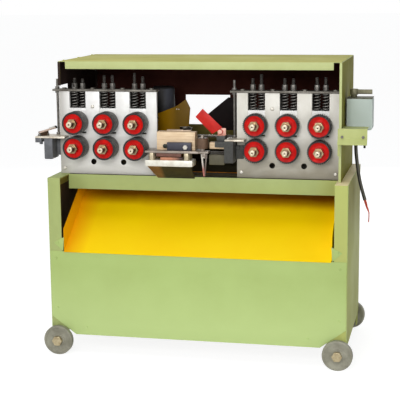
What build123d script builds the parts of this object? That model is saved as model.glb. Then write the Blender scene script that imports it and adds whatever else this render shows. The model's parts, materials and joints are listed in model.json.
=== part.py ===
from build123d import *
import math
import os

# Bamboo stick making machine: a floor cabinet on four wheels carries two spring-loaded roller
# modules under an open-fronted hood, with a guide and forming-die station between them.
# Millimetres. +X runs with the feed (left to right from the front), +Y to the back, +Z up.
# The origin lies on the floor under the centre of the cabinet.

# Cabinet and its angle-iron frame
cabinet_width = 1200.0
cabinet_depth = 560.0
cabinet_height = 725.0
sheet = 2.0
angle_leg = 50.0
angle_thick = 5.0
post_foot = 30.0
rail_setback = 111.0
rail_height = 60.0
rail_depth = 40.0
bed_rail_height = 40.0
bottom_rail_level = 100.0

# Front panel and chute
panel_bottom = 82.0
front_panel_drop = 298.0
panel_margin = 3.0
corner_cut_width = 100.0
corner_cut_height = 74.0
ear_width = 38.0
ear_height = 58.0
chute_angle = 32.6
chute_margin = 10.0
chute_wall = 90.0
chute_lip = 4.0
chute_end_setback = 375.0
chute_bar_height = 30.0

# Wheels
wheel_diameter = 120.0
wheel_width = 22.0
wheel_inset = 33.0
wheel_spacer = 6.0
axle_diameter = 24.0
axle_head_flats = 36.0
axle_head_height = 15.0
axle_nut_height = 13.0

# Hood
hood_inset = 35.0
hood_setback = 64.0
hood_height = 460.0
hood_flange = 8.0
lid_lip_height = 30.0
lid_lip_inset = 30.0
lid_gap = 2.0
window_left = -157.0
window_right = 38.0
window_sill = 159.0
window_height = 128.0
side_notch_back = 116.0
side_notch_drop = 97.0
exit_hole_height = 50.0

# Roller modules
module_setback = 129.0
infeed_margin = 14.5
outfeed_margin = 44.5
finger_width = 44.0
plate_height = 336.0
plate_thick = 16.0
plate_gap = 60.0
rear_plate_trim = 24.0
spacer_bar = 16.0
column_share = 0.105
lower_shaft_rise = 112.0
slot_width = 68.0
slot_lift = 3.0
access_hole_diameter = 22.0
bar_thick = 8.0
bar_width = 50.0
bar_overhang = 26.0

# Shafts, rollers and gears
shaft_diameter = 30.0
shaft_thread_diameter = 24.0
infeed_roller_diameter = 92.0
outfeed_roller_diameter = 94.0
infeed_roller_width = 63.0
outfeed_roller_width = 48.0
feed_inset = 23.0
roller_rim = 7.5
roller_recess = 7.0
roller_hub_diameter = 44.0
infeed_flutes = 60
infeed_flute_depth = 0.8
outfeed_teeth = 36
outfeed_tooth_depth = 5.0
nut_flats = 36.0
nut_height = 19.0
shaft_end = 31.0
shaft_end_chamfer = 2.5
centre_hole_diameter = 6.0
bush_wall = 7.0
bush_flange = 5.0
bush_flange_rim = 6.0
gear_module = 4.0
roller_gear_teeth = 25
idler_teeth = 19
gear_width = 30.0
gear_backlash = 0.5
gear_plate_gap = 6.0
idler_axle_diameter = 20.0
sprocket_teeth = 13
sprocket_tip_radius = 28.0
sprocket_tooth_depth = 4.0
sprocket_width = 8.0
sprocket_gap = 5.0
chain_height = 10.0
shaft_tail = 6.0

# Sliding blocks, spring rods and springs
block_lift = 7.0
block_height = 96.0
rod_spacing = 34.0
rod_diameter = 12.0
rod_depth = 20.0
rod_nut_flats = 19.0
rod_nut_height = 10.5
rod_washer_diameter = 24.0
rod_washer_thick = 2.5
rod_stand = 32.0
rod_uneven = {
    "infeed": (-12.0, -15.0, -1.0, 1.0, 9.5, -4.5),
    "outfeed": (-8.5, 8.0, -7.5, -8.0, -2.5, -2.5),
}
spring_diameter = 31.0
spring_wire = 4.5
spring_turns = 6.5
spring_row = 21.0

# Guides
guide_thick = 7.0
guide_overhang = 86.5
guide_width = 60.0
guide_nip_gap = 12.0
guide_block_width = 35.0
guide_block_drop = 85.0
guide_rod_diameter = 10.0

# Die station between the modules
die_setback = 40.0
die_bed_overlap = 26.5
die_bed_share = 0.503
die_bed_depth = 65.0
die_bed_rise = 51.0
die_bed_thick = 24.0
bracket_thick = 8.0
bracket_plate = 7.0
bracket_inset = 6.0
bracket_cut = 26.0
die_gap = 29.0
die_table_thick = 8.0
die_table_share = 0.577
tongue_length = 38.0
tongue_width = 34.0
spacer_flats = 24.0
strip_width = 20.0
strip_height = 10.0
wood_block_inset = 11.5
wood_block_share = 0.5123
wood_block_cover = 16.0
wood_block_thick = 44.0
wood_strip_height = 25.0
clamp_bar_share = 0.632
clamp_bar_thick = 6.0
clamp_block_share = 0.626
clamp_block_height = 32.0
cast_stand = 38.5
cast_width = 36.0
cast_rise = 66.0
cast_arm_length = 37.0
cast_arm_height = 22.0
cast_flange = 28.0
die_block_length = 33.0
die_block_cover = 5.0
base_block_height = 40.0
side_roller_diameter = 48.0
side_roller_height = 40.0
side_roller_lift = 11.0
side_axle_diameter = 12.0
lever_drop = 84.0
lever_spread = 26.0
lever_strap = 8.0
lever_thick = 4.0
guard_length = 112.0
guard_width = 44.0
guard_thick = 3.0
guard_lean = 42.0
guard_pin_diameter = 10.0
guard_ear = 11.0
guard_bracket_thick = 6.0

# Plates behind the die station
deflector_overlap = 36.5
deflector_width = 132.0
deflector_low_height = 233.0
deflector_high_height = 293.0
deflector_row = 288.0
shield_share = 0.58
shield_overlap = 24.0

# Drive
gearbox_width = 120.0
gearbox_depth = 110.0
gearbox_rise = 75.0
gearbox_row = 330.0
motor_diameter = 96.0
motor_height = 140.0
motor_offset = 42.0
hollow_shaft_diameter = 26.0
deck_thick = 8.0
deck_overlap = 27.5

# Switch box, outlet shelf and cable
box_width = 99.0
box_stand_off = 8.0
box_row = 180.0
box_depth = 90.0
box_rise = 190.0
box_height = 122.0
box_lid = 3.0
hub_diameter = 24.0
hub_height = 32.0
hub_offset = 24.0
lever_bar_length = 71.0
lever_bar_height = 18.0
gland_diameter = 24.0
gland_length = 25.0
shelf_stand = 14.0
shelf_overlap = 13.0
shelf_length = 112.0
shelf_drop = 7.0
shelf_height = 55.0
shelf_depth = 80.0
shelf_lip = 18.0
shelf_tab_width = 9.0
shelf_tab_drop = 50.0
shelf_bolt_flats = 10.0
cable_diameter = 14.0
wire_diameter = 4.0

# Clearances
slide_clearance = 0.2
run_clearance = 0.05
loose_clearance = 0.5

# Worked-out planes and levels
half_width = cabinet_width / 2
front = -cabinet_depth / 2
back = cabinet_depth / 2
post_x = half_width - sheet
rail_front = front + rail_setback
plate_front = front + module_setback
plate_back = plate_front + plate_thick
rear_plate_front = plate_back + plate_gap
rear_plate_back = rear_plate_front + plate_thick
front_panel_top = cabinet_height - front_panel_drop
chute_half_width = post_x - angle_leg - chute_margin
column_pitch = column_share * cabinet_width
plate_width = 2 * column_pitch + slot_width + 2 * finger_width
plate_top = cabinet_height + plate_height
lower_shaft_level = cabinet_height + lower_shaft_rise
shaft_spacing = gear_module * roller_gear_teeth
upper_shaft_level = lower_shaft_level + shaft_spacing
feed_level = lower_shaft_level + shaft_spacing / 2
slot_bottom = feed_level + slot_lift
block_bottom = slot_bottom + block_lift
block_top = block_bottom + block_height
strip_low = feed_level - strip_height / 2
strip_high = feed_level + strip_height / 2
guide_top = strip_low
idler_distance = gear_module * (roller_gear_teeth + idler_teeth) / 2
idler_drop = math.sqrt(idler_distance**2 - (column_pitch / 2) ** 2)
idler_level = lower_shaft_level - idler_drop
roller_back = plate_front - bush_flange
roller_front = {"infeed": roller_back - infeed_roller_width, "outfeed": roller_back - outfeed_roller_width}
feed_row = roller_back - feed_inset
gear_front = rear_plate_back + gear_plate_gap
gear_back = gear_front + gear_width
sprocket_front = gear_back + sprocket_gap
sprocket_back = sprocket_front + sprocket_width
module_x = {
    "infeed": -half_width + infeed_margin + plate_width / 2,
    "outfeed": half_width - outfeed_margin - plate_width / 2,
}
gap_left = module_x["infeed"] + plate_width / 2
gap_right = module_x["outfeed"] - plate_width / 2
gap_width = gap_right - gap_left
bar_front = plate_front - 4.0
spring_y = plate_front + spring_row
bar_top = plate_top + bar_thick
hood_front = front + hood_setback
hood_x = half_width - hood_inset
hood_top = cabinet_height + hood_height
window_bottom = cabinet_height + window_sill
window_top = window_bottom + window_height
side_notch_top = hood_top - side_notch_drop
bush_radius = shaft_diameter / 2 + bush_wall
deck_level = cabinet_height
deck_right = gap_left + deck_overlap
guide_left = module_x["infeed"] - plate_width / 2 - guide_overhang
cast_left = gap_right - cast_stand


def block(x0, x1, y0, y1, z0, z1):
    """A box between two corners."""
    return Pos((x0 + x1) / 2, (y0 + y1) / 2, (z0 + z1) / 2) * Box(x1 - x0, y1 - y0, z1 - z0)


def plate_xz(points, y0, y1):
    """A flat plate with an X-Z outline, from y0 back to y1."""
    outline = make_face(Plane.XZ.offset(-y1) * Polyline(*points, close=True))
    return extrude(outline, amount=y1 - y0, dir=(0, -1, 0))


def plate_yz(points, x0, x1):
    """A flat plate with a Y-Z outline, from x0 right to x1."""
    outline = make_face(Plane.YZ.offset(x0) * Polyline(*points, close=True))
    return extrude(outline, amount=x1 - x0, dir=(1, 0, 0))


def plate_xy(points, z0, z1):
    """A flat plate with an X-Y outline, from z0 up to z1."""
    outline = make_face(Plane.XY.offset(z0) * Polyline(*points, close=True))
    return extrude(outline, amount=z1 - z0, dir=(0, 0, 1))


def rod_y(x, z, radius, y0, y1):
    """A round bar along Y."""
    return extrude(Plane.XZ.offset(-y1) * Pos(x, z) * Circle(radius), amount=y1 - y0)


def rod_z(x, y, radius, z0, z1):
    """A round bar along Z."""
    return extrude(Plane.XY.offset(z0) * Pos(x, y) * Circle(radius), amount=z1 - z0)


def hex_y(x, z, flats, y0, y1):
    """A hexagonal bar along Y."""
    shape = RegularPolygon(flats / 2, 6, major_radius=False)
    return extrude(Plane.XZ.offset(-y1) * Pos(x, z) * shape, amount=y1 - y0)


def hex_z(x, y, flats, z0, z1):
    """A hexagonal bar along Z."""
    shape = RegularPolygon(flats / 2, 6, major_radius=False)
    return extrude(Plane.XY.offset(z0) * Pos(x, y) * shape, amount=z1 - z0)


def ring_y(x, z, outer, inner, y0, y1):
    """A round ring along Y."""
    return rod_y(x, z, outer, y0, y1) - rod_y(x, z, inner, y0, y1)


def toothed_disc(x, z, teeth, tip, root, y0, y1):
    """A disc with straight-sided teeth or flutes along Y."""
    step = 2 * math.pi / teeth
    points = []
    for tooth in range(teeth):
        for share, radius in ((-0.38, root), (-0.14, tip), (0.14, tip), (0.38, root)):
            angle = (tooth + share) * step
            points.append((x + radius * math.cos(angle), z + radius * math.sin(angle)))
    return plate_xz(points, y0, y1)


def gear_disc(x, z, teeth, phase, y0, y1):
    """A spur gear along Y whose first tooth points at the angle phase."""
    pitch = gear_module * teeth / 2
    base = pitch * math.cos(math.radians(20))
    tip = pitch + gear_module
    root = pitch - 1.25 * gear_module

    def involute(angle):
        return math.tan(angle) - angle

    def half_angle(radius):
        pressure = math.acos(min(1.0, base / radius))
        thin = gear_backlash / (2 * pitch)
        return math.pi / (2 * teeth) - thin + involute(math.radians(20)) - involute(pressure)

    def point(radius, angle):
        return (x + radius * math.cos(angle), z + radius * math.sin(angle))

    step = 2 * math.pi / teeth
    edges = []
    for tooth in range(teeth):
        middle = phase + tooth * step
        left_root, left_tip = middle - half_angle(root), middle - half_angle(tip)
        right_tip, right_root = middle + half_angle(tip), middle + half_angle(root)
        next_root = middle + step - half_angle(root)
        edges.append(
            ThreePointArc(
                point(root, left_root), point(pitch, middle - half_angle(pitch)), point(tip, left_tip)
            )
        )
        edges.append(Line(point(tip, left_tip), point(tip, right_tip)))
        edges.append(
            ThreePointArc(
                point(tip, right_tip), point(pitch, middle + half_angle(pitch)), point(root, right_root)
            )
        )
        edges.append(Line(point(root, right_root), point(root, next_root)))
    face = Plane.XZ.offset(-y1) * make_face(edges)
    return extrude(face, amount=y1 - y0, dir=(0, -1, 0))


def meshing_phase(phase, teeth, direction, other_teeth):
    """The tooth angle of a gear in mesh with another, seen along the line of centres."""
    place = (direction - phase) * teeth / (2 * math.pi)
    return direction + math.pi - (0.5 - place) * 2 * math.pi / other_teeth


def cap_screw(x, y, z, axis, diameter, height):
    """A domed screw head on a surface, pointing along +Z or -Y."""
    if axis == "z":
        head = rod_z(x, y, diameter / 2, z, z + height)
        rim = head.edges().group_by(Axis.Z)[-1]
    else:
        head = rod_y(x, z, diameter / 2, y - height, y)
        rim = head.edges().group_by(Axis.Y)[0]
    return fillet(rim, height * 0.6)


def save(name, *solids):
    """Writes one node of separate solids."""
    shape = solids[0] if len(solids) == 1 else Compound(children=[Part() + solid for solid in solids])
    export_step(shape, f"parts/{name}.step")


# Cabinet frame of angle iron
def corner_post(side, end):
    """One corner angle, standing on nothing but its wheel bolt."""
    outer_x, inner_x = side * post_x, side * (post_x - angle_leg)
    outer_y, inner_y = end * back, end * (back - angle_leg)
    thin_x, thin_y = side * (post_x - angle_thick), end * (back - angle_thick)
    top = cabinet_height - angle_thick
    corners = [
        (outer_x, outer_y),
        (inner_x, outer_y),
        (inner_x, thin_y),
        (thin_x, thin_y),
        (thin_x, inner_y),
        (outer_x, inner_y),
    ]
    post = plate_xy(corners, post_foot, top)
    hole = rod_y(wheel_x(side), wheel_diameter / 2, axle_diameter / 2 + loose_clearance, -back * 2, back * 2)
    return post - hole


def wheel_x(side):
    """The wheel's place across the cabinet."""
    return side * (half_width - wheel_inset)


def side_rails(side):
    """Top and bottom angles between the posts of one side."""
    outer, inner = side * post_x, side * (post_x - angle_leg)
    thin = side * (post_x - angle_thick)
    low_x, high_x = min(outer, inner), max(outer, inner)
    low_thin, high_thin = min(outer, thin), max(outer, thin)
    top = cabinet_height
    leg_end = back - angle_leg
    rail = block(low_x, high_x, front, back, top - angle_thick, top)
    rail += block(low_thin, high_thin, -leg_end, leg_end, top - angle_leg, top - angle_thick)
    bottom = block(
        low_thin, high_thin, -leg_end, leg_end, bottom_rail_level, bottom_rail_level + angle_leg
    )
    bottom += block(
        low_x, high_x, -leg_end, leg_end, bottom_rail_level, bottom_rail_level + angle_thick
    )
    return [rail, bottom]


def cross_angle(y_face, y_leg, z_top, height, depth_sign):
    """An angle across the cabinet: an upright leg at y_face and a level leg on top."""
    reach = post_x - angle_leg
    y0, y1 = sorted((y_face, y_face + depth_sign * angle_thick))
    rail = block(-reach, reach, y0, y1, z_top - height, z_top)
    y0, y1 = sorted((y_face, y_leg))
    return rail + block(-reach, reach, y0, y1, z_top - angle_thick, z_top)


bed_rail_back = rear_plate_back + 12.0
chute_bar_y = front + chute_end_setback
rear_rail_depth = rail_depth


def base_frame():
    """The welded frame: posts, side rails, cross rails and the motor deck."""
    pieces = [corner_post(side, end) for side in (-1, 1) for end in (-1, 1)]
    for side in (-1, 1):
        pieces += side_rails(side)
    pieces.append(cross_angle(rail_front, rail_front + rail_depth, cabinet_height, rail_height, 1))
    pieces.append(
        cross_angle(bed_rail_back, bed_rail_back - rail_depth, cabinet_height, bed_rail_height, -1)
    )
    pieces.append(
        cross_angle(back, back - rear_rail_depth, cabinet_height, rail_height, -1)
    )
    reach = post_x - angle_thick
    bar_low = cabinet_height - angle_leg
    pieces.append(
        block(-reach, reach, chute_bar_y, chute_bar_y + angle_thick, bar_low, bar_low + chute_bar_height)
    )
    for end in (-1, 1):
        y0, y1 = sorted((end * back, end * (back - angle_thick)))
        low = bottom_rail_level
        pieces.append(block(-(post_x - angle_leg), post_x - angle_leg, y0, y1, low, low + angle_leg))
    deck_left, deck_back = -(post_x - angle_leg), back - rear_rail_depth
    deck_low = deck_level - deck_thick
    pieces.append(block(deck_left, deck_right, bed_rail_back, deck_back, deck_low, deck_level))
    return pieces


# Sheet-metal panels
def panel_outline(top):
    """A panel with both lower corners cut away over the wheels."""
    x = half_width - panel_margin
    return [
        (-x, panel_bottom + corner_cut_height),
        (-x + corner_cut_width, panel_bottom),
        (x - corner_cut_width, panel_bottom),
        (x, panel_bottom + corner_cut_height),
        (x, top),
        (-x, top),
    ]


def front_panel():
    """The front sheet, its two corner ears and its screws."""
    panel = plate_xz(panel_outline(front_panel_top), front - sheet, front)
    pieces = [panel]
    for side in (-1, 1):
        inner = side * (post_x - angle_leg - 6.0)
        ear = [
            (inner, front_panel_top),
            (inner - side * 4.0, front_panel_top + ear_height),
            (inner + side * ear_width, front_panel_top + ear_height * 0.6),
        ]
        pieces.append(plate_xz(ear, front - sheet, front))
        screw_x = side * (post_x - angle_leg / 2)
        ear_screw_z = front_panel_top + ear_height * 0.6
        pieces.append(cap_screw(inner + side * ear_width * 0.55, front - sheet, ear_screw_z, "y", 8.0, 3.0))
        for z in (front_panel_top - 28.0, panel_bottom + corner_cut_height + 36.0):
            pieces.append(cap_screw(screw_x, front - sheet, z, "y", 9.0, 3.5))
        low_x = side * (half_width - panel_margin - corner_cut_width - 46.0)
        pieces.append(cap_screw(low_x, front - sheet, panel_bottom + 32.0, "y", 9.0, 3.5))
    return pieces


def cabinet_panels():
    """Two side sheets and the rear sheet."""
    pieces = []
    for side in (-1, 1):
        x0, x1 = sorted((side * post_x, side * half_width))
        pieces.append(block(x0, x1, front, back, panel_bottom, cabinet_height))
    pieces.append(plate_xz(panel_outline(cabinet_height - angle_thick), back, back + sheet))
    return pieces


def chute_tray():
    """The folded chute, sloping down over the front panel's top edge."""
    slope = math.tan(math.radians(chute_angle))
    lift = sheet / math.cos(math.radians(chute_angle))
    y_low = front - sheet - chute_lip
    y_high = chute_bar_y - sheet

    def floor_z(y):
        return front_panel_top + (y - front + sheet) * slope

    end_top = cabinet_height - angle_leg + chute_bar_height
    floor = plate_yz(
        [
            (y_low, floor_z(y_low)),
            (y_high, floor_z(y_high)),
            (y_high + sheet, floor_z(y_high)),
            (y_high + sheet, end_top),
            (y_high, end_top),
            (y_high, floor_z(y_high) + lift),
            (y_low, floor_z(y_low) + lift),
        ],
        -chute_half_width,
        chute_half_width,
    )
    level = min(end_top, floor_z(y_high) + chute_wall)
    y_level = front - sheet + (level - chute_wall - front_panel_top) / slope
    y_wall = front + sheet
    for side in (-1, 1):
        x0, x1 = sorted((side * chute_half_width, side * (chute_half_width + sheet)))
        floor += plate_yz(
            [
                (y_wall, floor_z(y_wall)),
                (y_high + sheet, floor_z(y_high)),
                (y_high + sheet, level),
                (y_level, level),
                (y_wall, floor_z(y_wall) + chute_wall),
            ],
            x0,
            x1,
        )
    return floor


# Wheels on fixed bolts
def wheel(side, end):
    """A solid disc wheel with a raised hub, turning on its bolt."""
    y0, y1 = sorted((end * (back + wheel_spacer), end * (back + wheel_spacer + wheel_width)))
    x, z = wheel_x(side), wheel_diameter / 2
    disc = rod_y(x, z, wheel_diameter / 2, y0, y1)
    disc = fillet(disc.edges(), wheel_width * 0.15)
    for face_y, sign in ((y0, 1), (y1, -1)):
        a, b = sorted((face_y, face_y + sign * 1.5))
        disc -= ring_y(x, z, wheel_diameter * 0.42, axle_head_flats * 0.75, a, b)
    return disc - rod_y(x, z, axle_diameter / 2 + run_clearance, y0, y1)


def axle_bolt(side, end):
    """Bolt, spacer and nut that hold one wheel to its post."""
    x, z = wheel_x(side), wheel_diameter / 2
    wheel_face = back + wheel_spacer + wheel_width + loose_clearance
    inner_face = back - angle_thick
    tail = inner_face - axle_nut_height - 4.0

    def span(a, b):
        return sorted((end * a, end * b))

    bolt = hex_y(x, z, axle_head_flats, *span(wheel_face, wheel_face + axle_head_height))
    bolt = bolt + rod_y(x, z, axle_diameter / 2, *span(tail, wheel_face))
    hole = axle_diameter / 2 + run_clearance
    collar = ring_y(x, z, axle_head_flats / 2, hole, *span(back, back + wheel_spacer - loose_clearance))
    nut = hex_y(x, z, axle_head_flats, *span(inner_face - axle_nut_height, inner_face))
    nut = nut - rod_y(x, z, hole, *span(inner_face - axle_nut_height, inner_face))
    return [bolt, collar, nut]


# Hood
def hood_side(side):
    """One hood side with inward flanges; the left one is cut away round the infeed module."""
    outer, inner = side * hood_x, side * (hood_x - sheet)
    x0, x1 = sorted((outer, inner))
    low, high = cabinet_height, hood_top - sheet
    if side < 0:
        notch_y = hood_front + side_notch_back
        points = [(hood_front, side_notch_top), (hood_front, high), (back - sheet, high)]
        points += [(back - sheet, low), (notch_y, low), (notch_y, side_notch_top)]
        panel = plate_yz(points, x0, x1)
        flange_low = side_notch_top
    else:
        panel = block(x0, x1, hood_front, back - sheet, low, high)
        z0 = feed_level - exit_hole_height / 2
        panel -= block(
            x0, x1, feed_row - feed_inset, plate_front, z0, z0 + exit_hole_height
        )
        flange_low = low
    flange0, flange1 = sorted((inner, inner - side * hood_flange))
    panel += block(flange0, flange1, hood_front, hood_front + sheet, flange_low, high)
    panel += block(flange0, flange1, hood_front, back - sheet, high - sheet, high)
    return panel


def hood_panels():
    """Both hood sides and the rear sheet with its window."""
    rear = block(-hood_x, hood_x, back - sheet, back, cabinet_height, hood_top - sheet)
    rear -= block(window_left, window_right, back - sheet, back, window_bottom, window_top)
    return [hood_side(-1), hood_side(1), rear]


def hood_lid():
    """The top sheet with its turned-down front lip, screwed to the side flanges."""
    x = hood_x - lid_gap
    lid = block(-x, x, hood_front, back, hood_top - sheet, hood_top)
    lip = x - lid_lip_inset
    lid += block(-lip, lip, hood_front - sheet, hood_front, hood_top - lid_lip_height, hood_top)
    pieces = [lid]
    for side in (-1, 1):
        screw_x = side * (hood_x - sheet - hood_flange / 2)
        for share in (0.12, 0.5, 0.88):
            y = hood_front + share * (back - hood_front)
            pieces.append(cap_screw(screw_x, y, hood_top, "z", 8.0, 3.0))
    return pieces


# Roller modules
def columns(module):
    """The X of a module's three shaft columns."""
    return [module_x[module] + k * column_pitch for k in (-1, 0, 1)]


def idlers(module):
    """The X of a module's two idler gears."""
    return [module_x[module] + k * column_pitch for k in (-0.5, 0.5)]


def module_plate(module, y0, rear):
    """One slotted plate with lower bush bores and idler holes."""
    x0, x1 = module_x[module] - plate_width / 2, module_x[module] + plate_width / 2
    y1 = y0 + plate_thick
    if rear:
        x0, x1 = x0 + rear_plate_trim, x1 - rear_plate_trim
    plate = block(x0, x1, y0, y1, cabinet_height, plate_top)
    for x in columns(module):
        plate -= block(x - slot_width / 2, x + slot_width / 2, y0, y1, slot_bottom, plate_top)
        plate -= rod_y(x, lower_shaft_level, bush_radius + run_clearance, y0, y1)
    hole = idler_axle_diameter + 2 * run_clearance if rear else access_hole_diameter
    for x in idlers(module):
        plate -= rod_y(x, idler_level, hole / 2, y0, y1)
    return plate


def module_plates():
    """Both modules' front and rear plates, spacer bars, idler axles and plate bolts."""
    pieces = []
    for module in module_x:
        pieces.append(module_plate(module, plate_front, False))
        pieces.append(module_plate(module, rear_plate_front, True))
        half = plate_width / 2
        for side in (-1, 1):
            inset = spacer_bar / 2 + 2.0 + rear_plate_trim
            x, reach = module_x[module] + side * (half - inset), spacer_bar / 2
            spacer_z = (cabinet_height + 30.0, plate_top - 40.0)
            for z in spacer_z:
                pieces.append(block(x - reach, x + reach, plate_back, rear_plate_front, z - reach, z + reach))
            screw_x = module_x[module] + side * (half - 18.0)
            pieces.append(cap_screw(screw_x, plate_front, cabinet_height + 22.0, "y", 14.0, 5.0))
        pieces.append(cap_screw(idlers(module)[0], plate_front, plate_top - 62.0, "y", 14.0, 5.0))
        for x in idlers(module):
            collar = gear_front - loose_clearance
            axle = rod_y(x, idler_level, idler_axle_diameter / 2, rear_plate_front, gear_back + 6.0)
            axle += rod_y(x, idler_level, idler_axle_diameter / 2 + 5.0, rear_plate_back, collar)
            pieces.append(axle)
    return pieces


def lower_bushes():
    """Flanged bronze bushes in the plates for the six lower shafts."""
    pieces = []
    hole = shaft_diameter / 2 + run_clearance
    for module in module_x:
        for x in columns(module):
            z = lower_shaft_level
            bush = rod_y(x, z, bush_radius, plate_front, plate_back)
            bush += rod_y(x, z, bush_radius + bush_flange_rim, plate_front - bush_flange + 1.0, plate_front)
            pieces.append(bush - rod_y(x, z, hole, roller_back, plate_back))
            bush = rod_y(x, z, bush_radius, rear_plate_front, rear_plate_back)
            bush += rod_y(x, z, bush_radius + bush_flange_rim, rear_plate_back, gear_front - 1.0)
            pieces.append(bush - rod_y(x, z, hole, rear_plate_front, gear_front))
    return pieces


def bar_ends(module):
    """The ends of a top bar, longer on the left to take the guide rod."""
    half = plate_width / 2
    return module_x[module] - half - bar_overhang, module_x[module] + half


def guide_rod_x(module):
    """The guide rod stands midway in the bar's overhang."""
    return module_x[module] - plate_width / 2 - bar_overhang / 2


def top_bars():
    """The bars that hold the springs down, bolted to the plates' fingers."""
    pieces = []
    for module in module_x:
        x0, x1 = bar_ends(module)
        bar = block(x0, x1, bar_front, bar_front + bar_width, plate_top, bar_top)
        hole = rod_diameter / 2 + 2 * loose_clearance
        for x in columns(module):
            for side in (-1, 1):
                bar -= rod_z(x + side * rod_spacing / 2, spring_y, hole, plate_top, bar_top)
        rod_hole = guide_rod_diameter / 2 + run_clearance
        bar -= rod_z(guide_rod_x(module), spring_y, rod_hole, plate_top, bar_top)
        pieces.append(bar)
        margin = (plate_width / 2 - column_pitch - slot_width / 2) / 2
        bolt_x = idlers(module) + [
            module_x[module] - plate_width / 2 + margin,
            module_x[module] + plate_width / 2 - margin,
        ]
        for x in bolt_x:
            pieces.append(hex_z(x, plate_front + plate_thick / 2, 17.0, bar_top, bar_top + 6.0))
    return pieces


def slide_block(module, column):
    """A sliding bearing block with its two bushes, spring rods, washers and nuts."""
    x = columns(module)[column]
    z = upper_shaft_level
    y0, y1 = plate_front + 1.0, rear_plate_back - 1.0
    half = slot_width / 2 - slide_clearance
    body = block(x - half, x + half, y0, y1, block_bottom, block_top)
    body -= rod_y(x, z, bush_radius + run_clearance, y0, y1)
    hole = shaft_diameter / 2 + run_clearance
    middle = (y0 + y1) / 2
    fronts = ((y0, middle - 10.0, y0 - bush_flange + 1.0, y0), (middle + 10.0, y1, y1, y1 + bush_flange))
    pieces = []
    for inner0, inner1, flange0, flange1 in fronts:
        bush = rod_y(x, z, bush_radius, inner0, inner1)
        bush += rod_y(x, z, bush_radius + bush_flange_rim, flange0, flange1)
        pieces.append(bush - rod_y(x, z, hole, y0 - bush_flange, y1 + bush_flange))
    for index, side in enumerate((-1, 1)):
        rod_x = x + side * rod_spacing / 2
        body -= rod_z(rod_x, spring_y, rod_diameter / 2 + run_clearance, block_top - rod_depth, block_top)
        nut_low = bar_top + rod_washer_thick
        nut_top = nut_low + 2 * rod_nut_height
        reach = nut_top + rod_stand + rod_uneven[module][2 * column + index]
        rod = rod_z(rod_x, spring_y, rod_diameter / 2, block_top - rod_depth, reach)
        pieces.append(chamfer(rod.edges().group_by(Axis.Z)[-1], 1.5))
        core = rod_diameter / 2 + run_clearance
        washer = rod_z(rod_x, spring_y, rod_washer_diameter / 2, bar_top, nut_low)
        pieces.append(washer - rod_z(rod_x, spring_y, core, bar_top, nut_low))
        for step in (0, 1):
            low = nut_low + step * rod_nut_height
            nut = hex_z(rod_x, spring_y, rod_nut_flats, low, low + rod_nut_height)
            pieces.append(nut - rod_z(rod_x, spring_y, core, low, low + rod_nut_height))
    return [body] + pieces


# Springs: helices of tangent arcs, a pair over each block
def biarc(start, start_dir, end, end_dir):
    """Two tangent arcs from one point and direction to another."""
    chord = end - start
    both = start_dir + end_dir
    spread = 2 * (1 - start_dir.dot(end_dir))
    reach = chord.dot(both)
    length = (math.sqrt(reach**2 + spread * chord.dot(chord)) - reach) / spread
    middle = (start + end + (start_dir - end_dir) * length) / 2
    join_dir = (middle - start - start_dir * length).normalized()
    first = Edge.make_tangent_arc(start, start_dir, middle)
    return [first, Edge.make_tangent_arc(middle, join_dir, end)]


def spring(x, y, z0, z1):
    """One coil spring between two seats, as one unbroken tube."""
    radius = (spring_diameter - spring_wire) / 2
    low, high = z0 + spring_wire / 2, z1 - spring_wire / 2
    steps = int(round(spring_turns * 4))
    rise = (high - low) / steps
    flat = 2 * math.pi * radius / 4

    def place(step):
        angle = step * math.pi / 2
        return Vector(x + radius * math.cos(angle), y + radius * math.sin(angle), low + rise * step)

    def heading(step):
        angle = step * math.pi / 2
        return Vector(-flat * math.sin(angle), flat * math.cos(angle), rise).normalized()

    edges = []
    for step in range(steps):
        edges += biarc(place(step), heading(step), place(step + 1), heading(step + 1))
    tail = place(0) - heading(0) * spring_wire
    tip = place(steps) + heading(steps) * spring_wire
    path = Wire([Line(tail, place(0)).edge()] + edges + [Line(place(steps), tip).edge()])
    profile = Plane(origin=tail, z_dir=heading(0)) * Circle(spring_wire / 2)
    coil = sweep(profile, path=path)
    return coil, path


def spring_pair(module, column):
    """The two springs of one sliding block, clear of both seats by a hair."""
    x = columns(module)[column]
    seat = 0.3
    turn = math.pi * (spring_diameter - spring_wire)
    tail_drop = spring_wire * math.sin(math.atan2(plate_top - block_top, turn * spring_turns))
    coils = []
    for side in (-1, 1):
        coil = spring(
            x + side * rod_spacing / 2, spring_y, block_top + seat + tail_drop, plate_top - seat - tail_drop
        )
        coils.append(coil)
    return coils


def least_gap(path, wire, quarter_points=12):
    """The least clear distance between neighbouring turns, measured on points."""
    count = int(spring_turns * 4 * quarter_points)
    points = [path.position_at(k / count) for k in range(count + 1)]
    apart = 3 * quarter_points
    gaps = [
        (points[a] - points[b]).length
        for a in range(0, count, 3)
        for b in range(a + apart, count + 1, 3)
    ]
    return min(gaps) - wire


# Rollers, shafts and gears
phases = {}
for module_name in module_x:
    angle = math.pi / 2
    below = math.atan2(-idler_drop, column_pitch / 2)
    for number in range(3):
        phases[module_name, "lower", number] = angle
        phases[module_name, "upper", number] = meshing_phase(
            angle, roller_gear_teeth, math.pi / 2, roller_gear_teeth
        )
        if number < 2:
            idler_angle = meshing_phase(angle, roller_gear_teeth, below, idler_teeth)
            phases[module_name, "idler", number] = idler_angle
            angle = meshing_phase(idler_angle, idler_teeth, -below, roller_gear_teeth)

driven_shaft = ("infeed", "lower", 2)
chained_shaft = ("outfeed", "lower", 0)


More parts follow.
